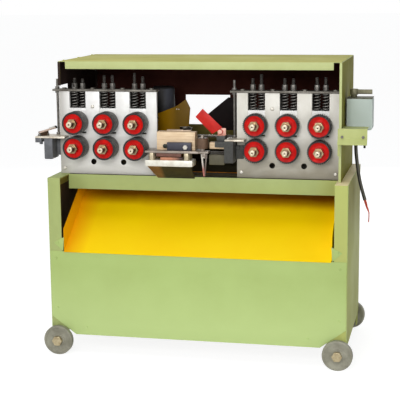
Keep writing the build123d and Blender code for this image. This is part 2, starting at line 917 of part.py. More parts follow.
def feed_roller(module, x, z):
    """The gripping wheel: a fluted or toothed rim round a recessed face."""
    tip = infeed_roller_diameter / 2
    teeth, depth = (infeed_flutes, infeed_flute_depth)
    if module == "outfeed":
        tip = outfeed_roller_diameter / 2
        teeth, depth = (outfeed_teeth, outfeed_tooth_depth)
    face_y = roller_front[module]
    wheel_body = toothed_disc(x, z, teeth, tip, tip - depth, face_y, roller_back)
    face = tip - roller_rim
    recess = ring_y(x, z, face, roller_hub_diameter / 2, face_y, face_y + roller_recess)
    bore = rod_y(x, z, shaft_diameter / 2 + run_clearance, face_y, roller_back)
    return wheel_body - recess - bore


def roller_set(module, level, column):
    """One shaft with its feed roller, gear and front nut, and a sprocket where it is chained."""
    x = columns(module)[column]
    z = upper_shaft_level if level == "upper" else lower_shaft_level
    key = (module, level, column)
    nut_back = roller_front[module]
    nut_front = nut_back - nut_height
    shaft = rod_y(x, z, shaft_thread_diameter / 2, nut_front - shaft_end, nut_back)
    shaft = chamfer(shaft.edges().group_by(Axis.Y)[0], shaft_end_chamfer)
    tail = gear_back + shaft_tail
    has_sprocket = key in (driven_shaft, chained_shaft)
    if has_sprocket:
        tail = sprocket_back + shaft_tail
    shaft += rod_y(x, z, shaft_diameter / 2, nut_back, tail)
    if key == driven_shaft:
        end = front + gearbox_row + gearbox_depth
        shaft += rod_y(x, z, hollow_shaft_diameter / 2, tail, end)
    shaft -= rod_y(x, z, centre_hole_diameter / 2, nut_front - shaft_end, nut_front)
    nut = hex_y(x, z, nut_flats, nut_front, nut_back)
    nut -= rod_y(x, z, shaft_thread_diameter / 2 + run_clearance, nut_front, nut_back)
    bore = shaft_diameter / 2 + run_clearance
    wheel_gear = gear_disc(x, z, roller_gear_teeth, phases[key], gear_front, gear_back)
    wheel_gear -= rod_y(x, z, bore, gear_front, gear_back)
    pieces = [feed_roller(module, x, z), shaft, nut, wheel_gear]
    if has_sprocket:
        tip, root = sprocket_tip_radius, sprocket_tip_radius - sprocket_tooth_depth
        sprocket = toothed_disc(x, z, sprocket_teeth, tip, root, sprocket_front, sprocket_back)
        pieces.append(sprocket - rod_y(x, z, bore, sprocket_front, sprocket_back))
    return pieces


def idler_gear(module, number):
    """An idler gear turning on its fixed axle."""
    x = idlers(module)[number]
    gear = gear_disc(x, idler_level, idler_teeth, phases[module, "idler", number], gear_front, gear_back)
    return gear - rod_y(x, idler_level, idler_axle_diameter / 2 + run_clearance, gear_front, gear_back)


# Drive
def gear_motor():
    """A hollow-shaft worm gearbox on the deck with its motor standing on top."""
    x = columns("infeed")[2]
    y0 = front + gearbox_row
    y1 = y0 + gearbox_depth
    top = lower_shaft_level + gearbox_rise
    box = block(x - gearbox_width / 2, x + gearbox_width / 2, y0, y1, deck_level, top)
    box = fillet(box.edges().filter_by(Axis.Z), 10.0)
    box -= rod_y(x, lower_shaft_level, hollow_shaft_diameter / 2 + run_clearance, y0, y1)
    motor_x, motor_y = x + motor_offset, (y0 + y1) / 2
    flange = rod_z(motor_x, motor_y, motor_diameter / 2 + 8.0, top, top + 10.0)
    motor = rod_z(motor_x, motor_y, motor_diameter / 2, top + 10.0, top + 10.0 + motor_height)
    motor = fillet(motor.edges().group_by(Axis.Z)[-1], 12.0)
    return [box, flange + motor]


def drive_chain():
    """The chain loop that links the two modules."""
    x0, x1 = columns("infeed")[2], columns("outfeed")[0]
    inner = sprocket_tip_radius + loose_clearance
    outer = inner + chain_height

    def loop(radius):
        return SlotCenterToCenter(x1 - x0, 2 * radius)

    plane = Plane.XZ.offset(-sprocket_back + 0.5)
    centre = Pos((x0 + x1) / 2, lower_shaft_level)
    return extrude(plane * centre * (loop(outer) - loop(inner)), amount=sprocket_width - 1.0)


# Guides in front of the nips
def nip_x(column_x):
    """How far a guide may reach towards a roller."""
    rise = guide_top - lower_shaft_level - guide_thick
    radius = max(infeed_roller_diameter, outfeed_roller_diameter) / 2
    return column_x - math.sqrt(max(0.0, radius**2 - rise**2)) - guide_nip_gap


guide_low = guide_top - guide_thick
guide_y0 = feed_row - guide_width / 2
guide_y1 = plate_front - bush_flange


def guide_outline(left, module):
    """A guide plate: a tongue to the nip and a tail back to the guide rod."""
    rod_side = module_x[module] - plate_width / 2 - loose_clearance
    tail_y = spring_y + guide_rod_diameter
    tongue = nip_x(columns(module)[0])
    return [
        (left, guide_y0),
        (tongue, guide_y0),
        (tongue, guide_y1),
        (rod_side, guide_y1),
        (rod_side, tail_y),
        (left, tail_y),
    ]


def guide_plates():
    """Both guide plates with the rods and nuts that hang them from the top bars."""
    pieces = []
    for module, left in (("infeed", guide_left), ("outfeed", cast_left)):
        pieces.append(plate_xy(guide_outline(left, module), guide_low, guide_top))
        x = guide_rod_x(module)
        core = guide_rod_diameter / 2
        rod = rod_z(x, spring_y, core, guide_top, bar_top + 40.0)
        pieces.append(chamfer(rod.edges().group_by(Axis.Z)[-1], 1.0))
        nuts = ((bar_top, bar_top + 9.0), (plate_top - 9.0, plate_top), (guide_top, guide_top + 9.0))
        for low, high in nuts:
            nut = hex_z(x, spring_y, 17.0, low, high)
            pieces.append(nut - rod_z(x, spring_y, core + run_clearance, low, high))
    return pieces


def infeed_guide():
    """The block that carries the infeed plate, its entry bar and bolts."""
    edge = module_x["infeed"] - plate_width / 2
    right = edge - 14.0
    left = right - guide_block_width
    low = guide_low - guide_block_drop
    body = block(left, right, guide_y0, plate_back, low, guide_low)
    body = chamfer(body.edges().filter_by(Axis.Y).group_by(Axis.Z)[0], 3.0)
    body += block(right, edge, plate_front, plate_back, low + 10.0, guide_low - 10.0)
    entry = block(guide_left, guide_left + 26.0, guide_y0, guide_y1, guide_low - 18.0, guide_low)
    pieces = [body, entry]
    for x, y in ((guide_left + 13.0, feed_row - 12.0), (guide_left + 38.0, feed_row + 14.0)):
        head = hex_z(x, y, 13.0, guide_top, guide_top + 8.0)
        pieces.append(head + rod_z(x, y, 4.0, guide_top + 8.0, guide_top + 18.0))
    x = guide_left + 20.0
    pieces.append(hex_z(x, guide_y0 + 14.0, 13.0, guide_low - 26.0, guide_low - 18.0))
    return pieces


# Die station
die_front = front + die_setback
die_bed_left = gap_left - die_bed_overlap
die_bed_right = gap_left + die_bed_share * gap_width
die_bed_bottom = cabinet_height + die_bed_rise
die_table_right = gap_left + die_table_share * gap_width
bed_top = die_bed_bottom + die_bed_thick
table_low = bed_top + die_gap
table_top = table_low + die_table_thick
table_back = roller_back
strip_y0 = feed_row - strip_width / 2
strip_y1 = feed_row + strip_width / 2


def die_bed():
    """The lower bar on a slanted plate and two ribs at the front rail, with spacers and a wedge on it."""
    pieces = [
        block(die_bed_left, die_bed_right, die_front, die_front + die_bed_depth, die_bed_bottom, bed_top)
    ]
    left, right = die_bed_left + bracket_inset, die_bed_right - bracket_inset
    face_y, rib_y = die_front + 2.0, die_front + 2.0 + bracket_plate
    foot_low = cabinet_height - bracket_plate
    slant = [(face_y, die_bed_bottom), (rib_y, die_bed_bottom)]
    slant += [(rail_front, cabinet_height), (rail_front, foot_low)]
    plate = plate_yz(slant, left, right)
    corner = [(left, foot_low), (left + bracket_cut, foot_low), (left, die_bed_bottom)]
    pieces.append(plate - plate_xz(corner, die_front, rail_front))
    rib = [(rib_y, die_bed_bottom), (rail_front, die_bed_bottom), (rail_front, cabinet_height)]
    for x in (left + bracket_cut + 8.0, right - 8.0 - bracket_thick):
        pieces.append(plate_yz(rib, x, x + bracket_thick))
    for x in (die_bed_left + 24.0, die_bed_right - 25.0):
        for y in (die_front + 15.0, die_front + die_bed_depth - 15.0):
            pieces.append(hex_z(x, y, spacer_flats, bed_top, table_low))
    wedge = block(
        die_bed_left + 59.0, die_bed_right - 40.0, die_front + 8.0, die_front + 28.0, bed_top, bed_top + 11.0
    )
    pieces.append(wedge)
    return pieces


tongue_y0 = die_front + 8.0
tongue_y1 = tongue_y0 + tongue_width
tongue_right = die_table_right + tongue_length
side_x = die_table_right + 12.0
side_y = tongue_y0 + tongue_width / 2 - 1.0


def die_table():
    """The upper plate with its tongue and the side roller's axle."""
    corners = [
        (die_bed_left - 1.0, die_front),
        (die_table_right, die_front),
        (die_table_right, tongue_y0),
        (tongue_right, tongue_y0),
        (tongue_right, tongue_y1),
        (die_table_right, tongue_y1),
        (die_table_right, table_back),
        (die_bed_left - 1.0, table_back),
    ]
    table = plate_xy(corners, table_low, table_top)
    radius = side_axle_diameter / 2
    axle = rod_z(side_x, side_y, radius, table_top, table_top + side_roller_lift + side_roller_height + 12.0)
    collar_top = table_top + side_roller_lift - loose_clearance
    axle += rod_z(side_x, side_y, radius + 4.0, table_top, collar_top)
    return [table, axle]


def side_roller():
    """The upright roller that steadies the strips from the front."""
    low = table_top + side_roller_lift
    drum = rod_z(side_x, side_y, side_roller_diameter / 2, low, low + side_roller_height)
    drum = chamfer(drum.edges(), 1.5)
    bore = side_axle_diameter / 2 + run_clearance
    return drum - rod_z(side_x, side_y, bore, low, low + side_roller_height)


wood_block_left = gap_left + wood_block_inset
wood_block_right = gap_left + wood_block_share * gap_width
wood_block_top = strip_high + wood_block_cover
wood_y1 = table_back
wood_y0 = wood_y1 - wood_block_thick


def wood_guides():
    """The wooden guide block with its strip tunnel, and the strip before the die."""
    body = block(wood_block_left, wood_block_right, wood_y0, wood_y1, table_top, wood_block_top)
    body -= block(wood_block_left, wood_block_right, strip_y0, strip_y1, strip_low, strip_high)
    strip_top = guide_low - 6.0
    strip_left, strip_bottom = side_x + side_roller_diameter / 2 + 1.0, strip_top - wood_strip_height
    strip = block(strip_left, cast_left, strip_y0 - 10.0, strip_y1, strip_bottom, strip_top)
    return [body, strip]


def clamp_set():
    """The clamp bar and its bolt on the wooden block, and the clamp block before it."""
    wood_length = wood_block_right - wood_block_left
    x0, x1 = wood_block_left + wood_length * 0.226, wood_block_left + wood_length * (0.226 + clamp_bar_share)
    bar_y0 = wood_y1 - 19.0
    bolt_low = wood_block_top + clamp_bar_thick
    bar = block(x0, x1, bar_y0, wood_y1, wood_block_top, bolt_low)
    bolt = hex_z(x1 - 26.0, bar_y0 + 9.5, 17.0, bolt_low, bolt_low + 11.0)
    block_y0 = wood_y0 - 21.0
    front_x0 = wood_block_left + wood_length * 0.297
    front_x1, block_high = front_x0 + wood_length * clamp_block_share, table_top + clamp_block_height
    body = block(front_x0, front_x1, block_y0, wood_y0, table_top, block_high)
    body = chamfer(body.edges().filter_by(Axis.X).group_by(Axis.Z)[-1], 4.0)
    head = hex_y(front_x1 - 22.0, table_top + 14.0, 17.0, block_y0 - 9.0, block_y0)
    return [bar, bolt, body, head]


cast_front = die_front + 20.0
cast_bottom = cabinet_height + cast_rise
die_block_top = strip_high + die_block_cover
die_y0 = cast_front + 17.0


def die_holder():
    """The cast holder on the outfeed plate, its arm, base block, forming die and guard bracket."""
    right = cast_left + cast_width
    edge = module_x["outfeed"] - plate_width / 2
    body = block(cast_left, right, cast_front, plate_front, cast_bottom, guide_low)
    arm_left, arm_low = cast_left - cast_arm_length, guide_low - cast_arm_height
    body += block(arm_left, cast_left, cast_front, die_y0 - 1.0, arm_low, guide_low)
    flange_y0, flange_x1 = roller_back + 1.0, edge + cast_flange
    body += block(right, flange_x1, flange_y0, plate_front, cast_bottom + 9.0, guide_low - 20.0)
    base_low = cast_bottom - 9.0
    base_left = tongue_right - 1.0
    outline = [(base_left, base_low), (cast_left - 2.0, base_low), (cast_left, base_low + 12.0)]
    outline += [(cast_left, base_low + base_block_height), (base_left, base_low + base_block_height)]
    base = plate_xz(outline, cast_front + 10.0, strip_y1)
    bolt = hex_y(right + 8.0, feed_level - 40.0, 17.0, roller_back - 8.0, roller_back + 1.0)
    die_left = cast_left - die_block_length
    strip_top = guide_low - 6.0
    die = block(die_left, cast_left, die_y0, table_back, strip_top, die_block_top)
    die -= block(die_left, cast_left, strip_y0, strip_y1, strip_low, strip_high)
    bracket_back = guard_y + guard_bracket_thick
    bracket = block(die_left, cast_left, guard_y, bracket_back, die_block_top, pivot_z + 14.0)
    radius, pin_front = guard_pin_diameter / 2, guard_y - guard_thick - 8.0
    pin = rod_y(pivot_x, pivot_z, radius, pin_front, guard_y)
    pin += rod_y(pivot_x, pivot_z, radius + 4.0, pin_front, guard_y - guard_thick - 1.0)
    return [body, base, bolt, die, bracket, pin]


guard_y = feed_row - 2.0
pivot_x = cast_left - die_block_length + guard_ear
pivot_z = die_block_top + guard_ear + 2.0


def chip_guard():
    """The red plate that swings on a pin above the die."""
    lean = math.radians(guard_lean)
    along = Vector(-math.cos(lean), 0, math.sin(lean))
    across = Vector(math.sin(lean), 0, math.cos(lean))
    pivot = Vector(pivot_x, 0, pivot_z)
    corners = [
        pivot + along * guard_ear * 1.6 - across * (guard_width * 0.64),
        pivot + along * guard_length - across * (guard_width * 0.54),
        pivot + along * guard_length + across * (guard_width * 0.46),
        pivot + along * guard_ear * 0.4 + across * (guard_width * 0.4),
    ]
    y0, y1 = guard_y - guard_thick, guard_y - loose_clearance
    plate = plate_xz([(corner.X, corner.Z) for corner in corners], y0, y1)
    plate += rod_y(pivot_x, pivot_z, guard_ear, y0, y1)
    return plate - rod_y(pivot_x, pivot_z, guard_pin_diameter / 2 + run_clearance, y0, y1)


lever_pin_x = tongue_right - 20.0
lever_pin_z = table_low - 9.0


def release_lever():
    """The V-shaped strap that hangs under the tongue from a bent-over eye."""
    y0 = tongue_y0 + tongue_width / 2
    y1 = y0 + lever_thick
    x, z = lever_pin_x, lever_pin_z
    half, strap = lever_spread / 2, lever_strap
    tip = z - lever_drop
    outer = [(x - half, z + 4.0), (x + half, z + 4.0), (x + strap / 2, tip), (x - strap / 2, tip)]
    inner = [(x - half + strap, z - 12.0), (x + half - strap, z - 12.0), (x, tip + 16.0)]
    strap_plate = plate_xz(outer, y0, y1) - plate_xz(inner, y0, y1)
    return strap_plate - rod_y(x, z, 3.0 + run_clearance, y0, y1)


def lever_hanger():
    """The lug and pin under the tongue that carry the strap."""
    y0 = tongue_y0 + tongue_width / 2
    x0, x1 = lever_pin_x - 7.0, lever_pin_x + 7.0
    lug = block(x0, x1, y0 - 6.0, y0 - loose_clearance, lever_pin_z - 6.0, table_low)
    pin = rod_y(lever_pin_x, lever_pin_z, 3.0, y0 - loose_clearance, y0 + lever_thick + 4.0)
    pin += rod_y(lever_pin_x, lever_pin_z, 5.0, y0 + lever_thick + loose_clearance, y0 + lever_thick + 4.0)
    return lug + pin


def deflector_plates():
    """A yellow chip deflector before the gearbox and a dark shield beside the outfeed module."""
    y0 = front + deflector_row
    left, right = gap_left - deflector_overlap, gap_left - deflector_overlap + deflector_width
    high = deflector_high_height
    outline = [
        (left, deck_level),
        (right, deck_level),
        (right, deck_level + high * 0.652),
        (right + deflector_width * 0.045, deck_level + high * 0.877),
        (right - deflector_width * 0.091, deck_level + high),
        (right - deflector_width * 0.411, deck_level + high * 0.898),
        (left, deck_level + deflector_low_height),
    ]
    plate = plate_xz(outline, y0, y0 + sheet)
    plate += block(left, deck_right - 2.0, y0 + sheet, y0 + 10.0, deck_level, deck_level + sheet)
    screw_z = deck_level + high * 0.857
    screws = [
        cap_screw(left + deflector_width * share, y0, screw_z, "y", 5.0, 2.0) for share in (0.61, 0.68)
    ]
    shield_left, shield_right = gap_left + shield_share * gap_width, gap_right + shield_overlap
    width, rise = shield_right - shield_left, plate_top - guide_top
    shield = [
        (shield_left, guide_top + rise * 0.464),
        (shield_left + width * 0.53, guide_top + rise * 0.849),
        (shield_right, guide_top + rise * 0.804),
        (shield_right, guide_top + rise * 0.112),
        (shield_left + width * 0.268, guide_top + rise * 0.106),
    ]
    return [plate, plate_xz(shield, rear_plate_back, rear_plate_back + sheet)] + screws


# Switch box, its lever, the outlet shelf and the cable
box_left = hood_x + box_stand_off
box_reach = box_left + box_width
box_bottom = cabinet_height + box_rise
box_top = box_bottom + box_height
hub_x = box_left + hub_offset
box_y0 = front + box_row
hub_y = box_y0 + box_depth / 2
cable_x = hub_x + 9.0


def control_box():
    """The switch housing on two pads, with its lid and cable gland."""
    y1 = box_y0 + box_depth
    body = block(box_left, box_reach, box_y0, y1, box_bottom, box_top)
    body = fillet(body.edges().filter_by(Axis.Y), box_width * 0.08)
    lid = block(box_left - 1.0, box_reach, box_y0 - 1.0, y1 + 1.0, box_top, box_top + box_lid)
    pieces = [body, lid]
    for z in (box_bottom + box_height * 0.164, box_top - box_height * 0.262):
        pieces.append(block(hood_x, box_left, box_y0 + 15.0, y1 - 15.0, z, z + 12.0))
    gland = Pos(cable_x, hub_y, box_bottom - gland_length / 2) * Cone(
        cable_diameter / 2 + 1.5, gland_diameter / 2, gland_length
    )
    pieces.append(gland)
    return pieces


def switch_lever():
    """The turning switch handle: stem, hub and side bar."""
    low = box_top + box_lid
    stem = rod_z(hub_x, hub_y, hub_diameter / 2, low + 0.3, low + hub_height)
    head_low = low + hub_height - lever_bar_height - 4.0
    stem += rod_z(hub_x, hub_y, hub_diameter / 2 + 4.0, head_low, low + hub_height)
    bar_low = head_low + 2.0
    bar_x1, bar_high = hub_x + lever_bar_length, bar_low + lever_bar_height
    bar = block(hub_x, bar_x1, hub_y - 6.0, hub_y + 6.0, bar_low, bar_high)
    bar = chamfer(bar.edges().filter_by(Axis.X), 2.0)
    return stem + bar


def box_shelf():
    """The folded outlet shelf below the switch box, wrapped round the hood's front edge."""
    x0 = hood_x - shelf_overlap
    x1 = x0 + shelf_length
    shelf_front = hood_front - shelf_stand
    shelf_bottom = feed_level - shelf_drop
    shelf_top = shelf_bottom + shelf_height
    y1 = shelf_front + sheet
    lip_top, lip_front = shelf_bottom + shelf_lip, shelf_front - shelf_lip
    shelf = block(x0, x1, shelf_front, y1, lip_top, shelf_top)
    shelf += block(hood_x, x1, y1, y1 + shelf_depth, shelf_top - sheet, shelf_top)
    lip = [(y1, lip_top), (shelf_front, lip_top), (lip_front, shelf_bottom), (lip_front, shelf_bottom - 5.0)]
    lip += [(lip_front + sheet, shelf_bottom - 5.0), (lip_front + sheet, shelf_bottom - sheet)]
    shelf += plate_yz(lip, x0, x1)
    shelf += block(x0, x0 + shelf_tab_width, shelf_front, y1, shelf_bottom - shelf_tab_drop, lip_top)
    end_low = feed_level + exit_hole_height / 2 + 3.0
    shelf += block(hood_x, hood_x + sheet, y1, y1 + shelf_depth, end_low, shelf_top - sheet)
    bolts = []
    for x in (x0 + shelf_length * 0.15, x0 + shelf_length * 0.86):
        head = hex_y(x, lip_top + 6.0, shelf_bolt_flats, shelf_front - 5.0, shelf_front)
        bolts.append(head)
    return [shelf] + bolts


gland_low = box_bottom - gland_length
cable_route = [
    (cable_x, hub_y, gland_low),
    (cable_x, hub_y, gland_low - 47.0),
    (cable_x + 5.5, hub_y - 0.9, gland_low - 101.0),
    (cable_x + 13.5, hub_y - 1.7, gland_low - 157.0),
    (cable_x + 25.0, hub_y - 2.4, gland_low - 210.0),
    (cable_x + 40.0, hub_y - 3.0, gland_low - 258.0),
]


def wire_routes():
    """Three bare cores that leave the sheath's end square to it and then spread."""
    before, end = Vector(*cable_route[-2]), Vector(*cable_route[-1])
    ahead = (end - before).normalized()
    right = ahead.cross(Vector(0, 1, 0)).normalized()
    toward = ahead.cross(right).normalized()
    spread = cable_diameter * 0.22
    routes = []
    for side, depth, steps in (
        (-1.0, 0.7, ((16.0, 0.0, 0.0), (34.0, 3.0, 1.0), (52.0, 2.0, 0.0))),
        (1.0, 0.7, ((18.0, 0.0, 0.0), (37.0, -1.5, 1.5), (56.0, -5.0, 1.0))),
        (0.0, -1.0, ((20.0, 0.0, 0.0), (44.0, -2.0, -0.5), (68.0, 3.0, 0.5), (90.0, 12.0, 0.0))),
    ):
        start = end - right * side * spread + toward * depth * spread
        route = [start]
        for run, sway, swell in steps:
            route.append(start + ahead * run - right * sway + toward * swell)
        routes.append([(place.X, place.Y, place.Z) for place in route])
    return routes


def cord_tube(route, diameter):
    """A round tube along straight runs joined by the largest tangent arcs that fit."""
    points = [Vector(*place) for place in route]
    radii = []
    for before, here, after in zip(points, points[1:], points[2:]):
        turn = math.radians((here - before).get_angle(after - here))
        run = min((here - before).length, (after - here).length)
        radii.append(0.45 * run / math.tan(turn / 2))
    path = FilletPolyline(*points, radius=radii)
    profile = Plane(origin=points[0], z_dir=points[1] - points[0]) * Circle(diameter / 2)
    tube = sweep(profile, path=path)
    drawn = math.pi * diameter**2 / 4 * path.length
    print("cord length", round(path.length, 1), "radii", [round(radius) for radius in radii])
    print("cord volume over section times length", round(tube.volume / drawn, 4))
    return tube


os.makedirs("parts", exist_ok=True)

save("base_frame", *base_frame())
save("front_panel", *front_panel())
save("cabinet_panels", *cabinet_panels())
save("chute_tray", chute_tray())
for end_name, end in (("front", -1), ("rear", 1)):
    for side_name, side in (("left", -1), ("right", 1)):
        save(f"wheel_{end_name}_{side_name}", wheel(side, end))
save("axle_bolts", *[piece for side in (-1, 1) for end in (-1, 1) for piece in axle_bolt(side, end)])
save("hood_panels", *hood_panels())
save("hood_lid", *hood_lid())
save("module_plates", *module_plates())
save("lower_bushes", *lower_bushes())
save("top_bars", *top_bars())
for module in module_x:
    for column in range(3):
        save(f"{module}_block_{column + 1}", *slide_block(module, column))
        springs = spring_pair(module, column)
        save(f"{module}_springs_{column + 1}", *[coil for coil, path in springs])
        save(f"{module}_upper_roller_{column + 1}", *roller_set(module, "upper", column))
        save(f"{module}_lower_roller_{column + 1}", *roller_set(module, "lower", column))
    for number in range(2):
        save(f"{module}_idler_gear_{number + 1}", idler_gear(module, number))
print("least gap between spring turns", round(least_gap(springs[0][1], spring_wire), 2))
save("gear_motor", *gear_motor())
save("drive_chain", drive_chain())
save("guide_plates", *guide_plates())
save("infeed_guide", *infeed_guide())
save("die_bed", *die_bed())
save("die_table", *die_table(), lever_hanger())
save("side_roller", side_roller())
save("wood_guides", *wood_guides())
save("clamp_set", *clamp_set())
save("die_holder", *die_holder())
save("chip_guard", chip_guard())
save("release_lever", release_lever())
save("deflector_plates", *deflector_plates())
save("control_box", *control_box())
save("switch_lever", switch_lever())
save("box_shelf", *box_shelf())
save("power_cable", cord_tube(cable_route, cable_diameter))
save("cable_wires", *[cord_tube(route, wire_diameter) for route in wire_routes()])
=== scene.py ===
import json
import math

import bmesh
import bpy
from mathutils import Matrix, Vector

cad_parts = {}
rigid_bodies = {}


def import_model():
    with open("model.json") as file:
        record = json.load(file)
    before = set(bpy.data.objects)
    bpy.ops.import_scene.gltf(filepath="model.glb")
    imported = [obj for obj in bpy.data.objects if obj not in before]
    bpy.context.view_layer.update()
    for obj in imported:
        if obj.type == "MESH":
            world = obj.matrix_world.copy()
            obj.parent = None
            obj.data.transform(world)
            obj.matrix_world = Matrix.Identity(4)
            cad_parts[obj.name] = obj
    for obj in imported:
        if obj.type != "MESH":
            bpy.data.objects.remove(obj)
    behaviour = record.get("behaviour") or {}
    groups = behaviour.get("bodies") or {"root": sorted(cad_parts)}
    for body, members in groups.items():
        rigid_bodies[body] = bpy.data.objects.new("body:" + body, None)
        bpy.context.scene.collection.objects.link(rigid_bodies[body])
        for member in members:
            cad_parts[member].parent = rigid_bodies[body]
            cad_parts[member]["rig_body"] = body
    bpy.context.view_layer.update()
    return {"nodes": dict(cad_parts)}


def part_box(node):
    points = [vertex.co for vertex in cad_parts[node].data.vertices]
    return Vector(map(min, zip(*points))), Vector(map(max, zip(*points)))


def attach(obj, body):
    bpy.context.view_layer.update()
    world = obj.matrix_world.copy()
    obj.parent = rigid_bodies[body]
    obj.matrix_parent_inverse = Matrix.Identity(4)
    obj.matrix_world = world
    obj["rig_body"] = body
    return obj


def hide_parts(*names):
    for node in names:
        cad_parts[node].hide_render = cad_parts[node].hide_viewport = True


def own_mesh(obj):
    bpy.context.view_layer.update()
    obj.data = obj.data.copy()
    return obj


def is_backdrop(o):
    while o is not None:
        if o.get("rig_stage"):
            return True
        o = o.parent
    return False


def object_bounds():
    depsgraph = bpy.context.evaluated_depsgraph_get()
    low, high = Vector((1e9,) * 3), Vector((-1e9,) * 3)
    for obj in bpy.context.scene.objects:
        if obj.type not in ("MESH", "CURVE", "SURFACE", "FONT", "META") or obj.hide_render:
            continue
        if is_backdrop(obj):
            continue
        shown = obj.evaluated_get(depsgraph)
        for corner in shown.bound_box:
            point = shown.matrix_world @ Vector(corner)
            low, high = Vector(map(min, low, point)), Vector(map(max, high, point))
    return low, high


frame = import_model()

scene = bpy.context.scene
scene.view_settings.view_transform = "Standard"

# Viewpoint: seen from the right front, a little above the feed line, through a long lens that keeps
# the upright edges nearly parallel.
view_turn = math.radians(12.461)
view_tilt = math.radians(10.378)
view_roll = math.radians(0.562)
view_place = (0.9839, -4.6214, 1.4677)
focal_pixels = 1160.1
frame_pixels = 400
sensor_mm = 36.0
viewpoint = bpy.data.objects.new("viewpoint", bpy.data.cameras.new("viewpoint"))
viewpoint.data.sensor_width = sensor_mm
viewpoint.data.lens = sensor_mm * focal_pixels / frame_pixels
viewpoint.matrix_world = (
    Matrix.Translation(view_place)
    @ Matrix.Rotation(view_turn, 4, "Z")
    @ Matrix.Rotation(math.pi / 2 - view_tilt, 4, "X")
    @ Matrix.Rotation(-view_roll, 4, "Z")
)
scene.collection.objects.link(viewpoint)
scene.camera = viewpoint


def paint(red, green, blue):
    """A colour given on the 0 to 255 screen scale, as the shaders take it."""
    channels = []
    for level in (red, green, blue):
        share = level / 255
        channels.append(share / 12.92 if share <= 0.04045 else ((share + 0.055) / 1.055) ** 2.4)
    return (*channels, 1.0)


# Studio: a pale floor under a white room, one large lamp in front, and softer ones at both sides,
# overhead and behind.
sky_level = 0.29
sky_tint = (0.94, 0.97, 1.0, 1.0)
floor_reach = 60.0
floor_tint = (0.86, 0.86, 0.86, 1.0)
floor_rough = 0.9
floor_shadow_share = 0.35
floor_glow_level = 1.34
lamps = (
    ("key_lamp", (0.1, -4.9, 2.6), 1.8, 114.0),
    ("left_lamp", (-3.0, -3.2, 1.6), 2.0, 18.0),
    ("right_lamp", (2.4, -3.5, 0.9), 1.8, 20.0),
    ("top_lamp", (-0.4, -0.9, 4.0), 2.4, 34.0),
    ("rear_lamp", (-0.6, 4.8, 0.6), 1.1, 60.0),
)
lamp_target = Vector((0.0, -0.1, 0.7))
for lamp_name, lamp_place, lamp_size, lamp_power in lamps:
    lamp = bpy.data.objects.new(lamp_name, bpy.data.lights.new(lamp_name, "AREA"))
    lamp.data.size = lamp_size
    lamp.data.energy = lamp_power
    lamp.location = lamp_place
    lamp.rotation_euler = (lamp_target - lamp.location).to_track_quat("-Z", "Y").to_euler()
    scene.collection.objects.link(lamp)


def seen_directly(tree):
    """One where the eye, a mirror or glass looks straight at a surface."""
    path = tree.nodes.new("ShaderNodeLightPath")
    either = tree.nodes.new("ShaderNodeMath")
    either.operation = "MAXIMUM"
    tree.links.new(path.outputs["Is Camera Ray"], either.inputs[0])
    tree.links.new(path.outputs["Is Glossy Ray"], either.inputs[1])
    any_of = tree.nodes.new("ShaderNodeMath")
    any_of.operation = "MAXIMUM"
    tree.links.new(either.outputs[0], any_of.inputs[0])
    tree.links.new(path.outputs["Is Transmission Ray"], any_of.inputs[1])
    return any_of.outputs[0]


room = bpy.data.worlds.new("white_room")
room.use_nodes = True
scene.world = room
room_tree = room.node_tree
room_light = room_tree.nodes["Background"]
room_light.inputs["Color"].default_value = sky_tint
room_light.inputs["Strength"].default_value = sky_level
room_white = room_tree.nodes.new("ShaderNodeBackground")
room_white.inputs["Color"].default_value = (1.0, 1.0, 1.0, 1.0)
room_mix = room_tree.nodes.new("ShaderNodeMixShader")
room_tree.links.new(seen_directly(room_tree), room_mix.inputs["Fac"])
room_tree.links.new(room_light.outputs[0], room_mix.inputs[1])
room_tree.links.new(room_white.outputs[0], room_mix.inputs[2])
room_tree.links.new(room_mix.outputs[0], room_tree.nodes["World Output"].inputs["Surface"])

floor_mesh = bmesh.new()
bmesh.ops.create_grid(floor_mesh, x_segments=1, y_segments=1, size=floor_reach)
floor = bpy.data.objects.new("floor", bpy.data.meshes.new("floor"))
floor_mesh.to_mesh(floor.data)
scene.collection.objects.link(floor)
floor_finish = bpy.data.materials.new("pale_floor")
floor_finish.use_nodes = True
floor_tree = floor_finish.node_tree
floor_paint = floor_tree.nodes["Principled BSDF"]
floor_paint.inputs["Base Color"].default_value = floor_tint
floor_paint.inputs["Roughness"].default_value = floor_rough
floor_glow = floor_tree.nodes.new("ShaderNodeEmission")
floor_glow.inputs["Strength"].default_value = floor_glow_level
floor_level = floor_tree.nodes.new("ShaderNodeMath")
floor_level.operation = "MULTIPLY"
floor_level.inputs[1].default_value = 1.0 - floor_shadow_share
floor_mix = floor_tree.nodes.new("ShaderNodeMixShader")
floor_tree.links.new(seen_directly(floor_tree), floor_level.inputs[0])
floor_tree.links.new(floor_level.outputs[0], floor_mix.inputs["Fac"])
floor_tree.links.new(floor_paint.outputs[0], floor_mix.inputs[1])
floor_tree.links.new(floor_glow.outputs[0], floor_mix.inputs[2])
floor_tree.links.new(floor_mix.outputs[0], floor_tree.nodes["Material Output"].inputs["Surface"])
floor.data.materials.append(floor_finish)
floor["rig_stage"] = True

# Base frame: welded angle iron, brushed with light green enamel that has gone blotchy
# and thin along the edges.


def effect(name, inputs, outputs):
    """An empty node group with its sockets, and its two end nodes."""
    group = bpy.data.node_groups.new(name, "ShaderNodeTree")
    for in_or_out, sockets in (("INPUT", inputs), ("OUTPUT", outputs)):
        for socket, kind in sockets.items():
            group.interface.new_socket(socket, in_out=in_or_out, socket_type="NodeSocket" + kind)
    return group, group.nodes.new("NodeGroupInput"), group.nodes.new("NodeGroupOutput")


def linked(tree, pairs):
    """Links each output to its input."""
    for start, end in pairs:
        tree.links.new(start, end)


